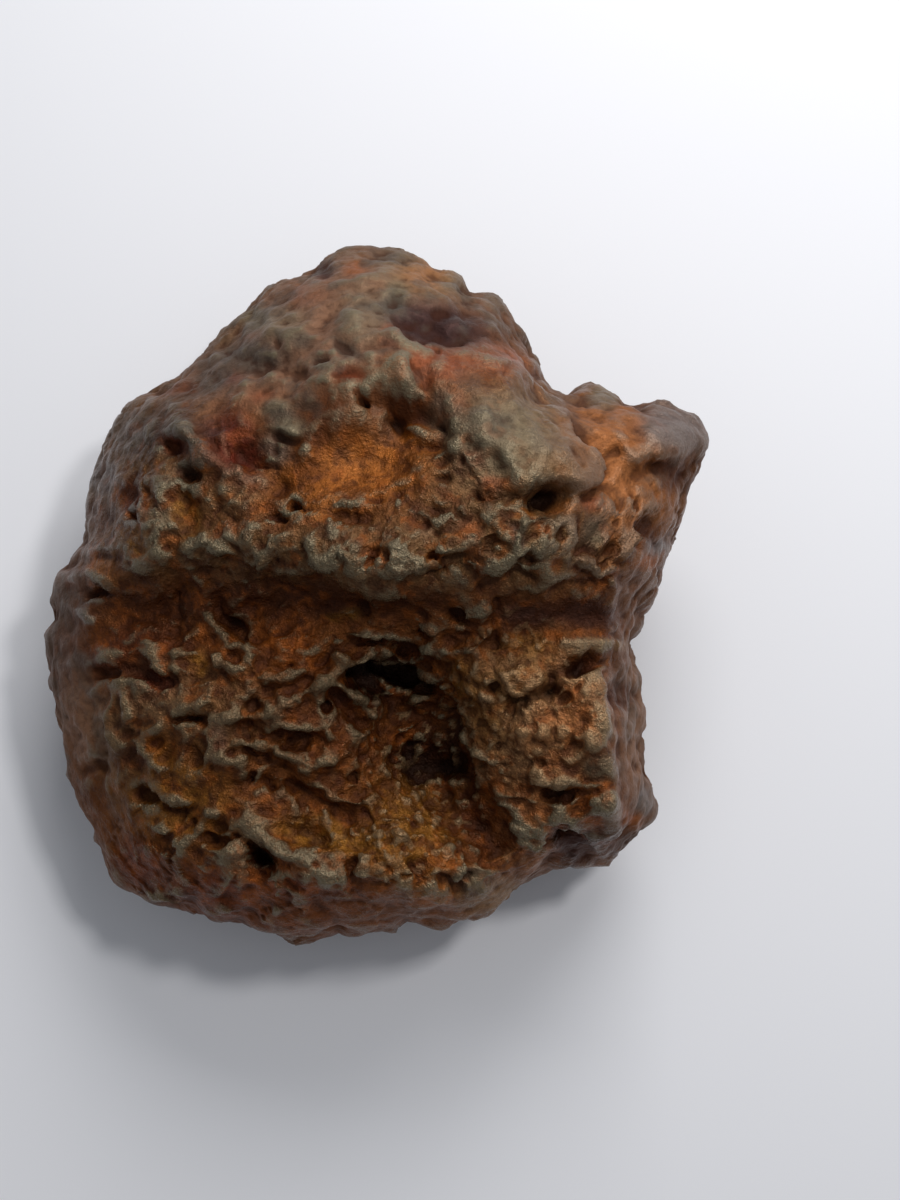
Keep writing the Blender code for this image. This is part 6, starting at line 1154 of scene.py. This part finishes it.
class Shader:
    """A material's nodes, added one call at a time."""

    def __init__(self, name):
        self.material = bpy.data.materials.new(name)
        self.material.use_nodes = True
        self.nodes = self.material.node_tree.nodes
        self.links = self.material.node_tree.links
        self.surface = self.nodes["Principled BSDF"]

    def put(self, value, socket):
        """Link a socket, or set a value."""
        if isinstance(value, bpy.types.NodeSocket):
            self.links.new(value, socket)
        else:
            socket.default_value = value

    def attribute(self, name, output="Fac"):
        """What the mesh keeps under this name."""
        node = self.nodes.new("ShaderNodeAttribute")
        node.attribute_name = name
        return node.outputs[output]

    def noise(self, name):
        """The named noise, fixed to the object."""
        per_mm, detail, roughness, distortion = NOISES[name]
        place = self.nodes.new("ShaderNodeTexCoord").outputs["Object"]
        node = self.nodes.new("ShaderNodeTexNoise")
        self.links.new(place, node.inputs["Vector"])
        node.inputs["Scale"].default_value = per_mm / MM
        node.inputs["Detail"].default_value = detail
        node.inputs["Roughness"].default_value = roughness
        node.inputs["Distortion"].default_value = distortion
        return node.outputs["Fac"]

    def math(self, operation, first, second):
        """Two values put together."""
        node = self.nodes.new("ShaderNodeMath")
        node.operation = operation
        self.put(first, node.inputs[0])
        self.put(second, node.inputs[1])
        return node.outputs[0]

    def plus(self, first, second):
        return self.math("ADD", first, second)

    def minus(self, first, second):
        return self.math("SUBTRACT", first, second)

    def times(self, first, second):
        return self.math("MULTIPLY", first, second)

    def ramp(self, name, value):
        """The value led smoothly through the named ramp."""
        node = self.nodes.new("ShaderNodeMapRange")
        node.interpolation_type = "SMOOTHSTEP"
        self.put(value, node.inputs["Value"])
        for socket, number in zip(("From Min", "From Max", "To Min", "To Max"), RAMPS[name]):
            node.inputs[socket].default_value = number
        return node.outputs["Result"]

    def mix(self, share, first, second, how="MIX"):
        """The second colour laid over the first."""
        node = self.nodes.new("ShaderNodeMix")
        node.data_type = "RGBA"
        node.blend_type = how
        self.put(share, node.inputs[MIX_SHARE])
        self.put(first, node.inputs[MIX_FIRST])
        self.put(second, node.inputs[MIX_SECOND])
        return node.outputs[MIX_RESULT]

    def bump(self, height, distance_mm, under=None):
        """A bump of this height, on top of the one under it."""
        node = self.nodes.new("ShaderNodeBump")
        node.inputs["Strength"].default_value = 1.0
        node.inputs["Distance"].default_value = distance_mm * MM
        self.links.new(height, node.inputs["Height"])
        if under:
            self.links.new(under, node.inputs["Normal"])
        return node.outputs["Normal"]


def shade_of(name):
    """A named colour for a shader's socket."""
    return (*linear(COLOURS[name]), 1.0)


def rust_and_painted_shade_material():
    """Rust in the hollows, worn iron on what stands out, and painted shade: dark in crevices, near black in
    the deepest ones.
    """
    shader = Shader("rusted iron")
    stands_out = shader.attribute("stands_out")
    midway = shader.attribute("stands_out_midway")
    broadly = shader.attribute("stands_out_broadly")
    grain = shader.attribute("grain")
    calm = shader.attribute("calm")
    on_top = shader.ramp("on top", shader.attribute("facing"))
    lively = shader.times(shader.minus(1.0, calm), on_top)
    speckle = shader.noise("speckle")
    fine = shader.noise("fine")

    # Rust, with its patches of painted shade and of painted light, mottled in hue and tone, with paler grains
    # where the surface is crumbly
    rust = shader.attribute("rust", "Color")
    for name, shade in (("warm", "rust orange"), ("dusky", "dark brown"), ("dim", "crevice")):
        rust = shader.mix(shader.times(shader.ramp(name, shader.noise(name)), lively), rust, shade_of(shade))
    mottle = shader.ramp("mottle", speckle)
    rust = shader.mix(1.0, rust, shader.mix(mottle, (0, 0, 0, 1), (1, 1, 1, 1)), "MULTIPLY")
    blotchy = shader.times(shader.ramp("blotchy", shader.noise("blotchy")), calm)
    rust = shader.mix(blotchy, rust, shade_of("slate"))
    pale_grain = shader.times(shader.ramp("pale grain", shader.attribute("crumb_number")), grain)
    rust = shader.mix(shader.times(pale_grain, GRAIN_COVER), rust, shade_of("tan"))

    # Worn iron on sharp crests and on broad rises, more of it in some places than in others
    wobble = shader.times(shader.minus(speckle, NOISE_MIDDLE), WOBBLE)
    height = shader.plus(stands_out, shader.times(wobble, FINE_WOBBLE))
    rise = shader.ramp("rise", shader.plus(midway, wobble))
    worn = shader.math("MAXIMUM", shader.ramp("crest", height), rise)
    worn = shader.times(worn, shader.ramp("patchy", shader.noise("patchy")))
    worn = shader.times(worn, shader.ramp("worn fine", fine))
    worn = shader.times(worn, on_top)
    colour = shader.mix(worn, rust, shader.attribute("iron", "Color"))

    # Painted shade: dark rust in fine crevices and near black in deep hollows
    colour = shader.mix(shader.ramp("crevice", height), colour, shade_of("crevice"))
    colour = shader.mix(shader.ramp("deep", broadly), colour, shade_of("black brown"))
    shader.put(colour, shader.surface.inputs["Base Color"])

    # Gloss: crests shine more than hollows, soft places less, with small glints on top
    roughness = shader.ramp("roughness", shader.plus(height, shader.times(fine, GLOSS_WOBBLE)))
    glint = shader.times(shader.ramp("glint", fine), lively)
    roughness = shader.minus(shader.plus(roughness, shader.times(calm, MATT)), glint)
    shader.put(roughness, shader.surface.inputs["Roughness"])
    shader.surface.inputs["Specular IOR Level"].default_value = SPECULAR
    shader.surface.inputs["Metallic"].default_value = METALLIC

    # Grain too fine for the mesh
    roughened = shader.plus(shader.times(lively, BUMP_LIVELY), BUMP_EVERYWHERE)
    normal = shader.bump(shader.times(speckle, roughened), SPECKLE_BUMP)
    normal = shader.bump(shader.times(fine, roughened), FINE_BUMP, normal)
    shader.put(normal, shader.surface.inputs["Normal"])
    return shader.material


def make_stone():
    """The finished stone in place of the plain solid."""
    directions, faces = ball_grid(GRID)
    points, u, v, facing, upper_share, calm, crumbly, number = lump_points(directions, faces)
    stone = build_mesh("meteorite_surface", points, faces)
    store(stone, "stands_out", standing_out(points, faces, FINE_EVENING))
    store(stone, "stands_out_midway", standing_out(points, faces, MIDDLE_EVENING))
    store(stone, "stands_out_broadly", standing_out(points, faces, BROAD_EVENING))
    store(stone, "calm", calm)
    store(stone, "facing", facing)
    store(stone, "grain", crumbly)
    store(stone, "crumb_number", number)
    # The rust colours, with the painted shade of pits, grooves and overhangs and the painted light on the
    # crumbs
    store(stone, "rust", laid_down(RUST_SHADE_AND_LIGHT_PATCHES, "brown", "umber", u, v, facing, upper_share))
    # The worn iron colours, with painted shade in the far slope's hollow and painted light on the crumbs
    store(stone, "iron", laid_down(IRON_SHADE_AND_LIGHT_PATCHES, "grey olive", "olive brown", u, v, facing, upper_share))
    stone.data.materials.append(rust_and_painted_shade_material())
    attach(stone, "root")
    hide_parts("meteorite")


def make_ground():
    """A plain pale surface under the stone."""
    half = GROUND_HALF * MM
    level = -GROUND_GAP * MM
    corners = [(-half, -half, level), (half, -half, level), (half, half, level), (-half, half, level)]
    data = bpy.data.meshes.new("ground")
    data.from_pydata(corners, [], [(0, 1, 2, 3)])
    ground = add_object("ground", data)
    paper = Shader("pale paper")
    paper.surface.inputs["Base Color"].default_value = (*GROUND_COLOUR, 1.0)
    paper.surface.inputs["Roughness"].default_value = GROUND_ROUGHNESS
    data.materials.append(paper.material)


def make_lights():
    """The lights, and a faint cool light from all round."""
    for name, (width, height), distance, azimuth, elevation, power, colour in LIGHTS:
        data = bpy.data.lights.new(name, "AREA")
        data.shape = "RECTANGLE"
        data.size = width * MM
        data.size_y = height * MM
        data.energy = power
        data.color = colour
        light = add_object(name, data)
        towards = Vector(direction(azimuth, elevation))
        light.location = towards * distance * MM
        light.rotation_euler = towards.to_track_quat("Z", "Y").to_euler()

    world = bpy.data.worlds.new("room")
    world.use_nodes = True
    world.node_tree.nodes["Background"].inputs["Color"].default_value = (*ROOM_COLOUR, 1.0)
    world.node_tree.nodes["Background"].inputs["Strength"].default_value = ROOM_STRENGTH
    bpy.context.scene.world = world
    bpy.context.scene.view_settings.view_transform = "Standard"


def make_camera():
    """The camera at the eye that the plan is drawn for."""
    place = (eye_point() - [*FLAT_SPOT, 0.0]) * MM
    data = bpy.data.cameras.new("camera")
    data.sensor_width = SENSOR
    data.lens = SENSOR * EYE_DISTANCE / VIEW_HEIGHT
    data.clip_start = SIGHT_START * MM
    camera = add_object("camera", data)
    turn = Matrix(plan_direction()).transposed()
    camera.matrix_world = Matrix.Translation(place) @ turn.to_4x4()
    bpy.context.scene.camera = camera


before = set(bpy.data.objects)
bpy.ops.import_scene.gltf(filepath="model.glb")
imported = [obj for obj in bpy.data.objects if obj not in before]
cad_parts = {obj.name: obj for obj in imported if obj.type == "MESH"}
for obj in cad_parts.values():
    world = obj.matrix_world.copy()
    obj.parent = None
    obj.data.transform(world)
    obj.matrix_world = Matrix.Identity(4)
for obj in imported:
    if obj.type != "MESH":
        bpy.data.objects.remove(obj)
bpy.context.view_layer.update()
make_stone()
make_ground()
make_lights()
make_camera()
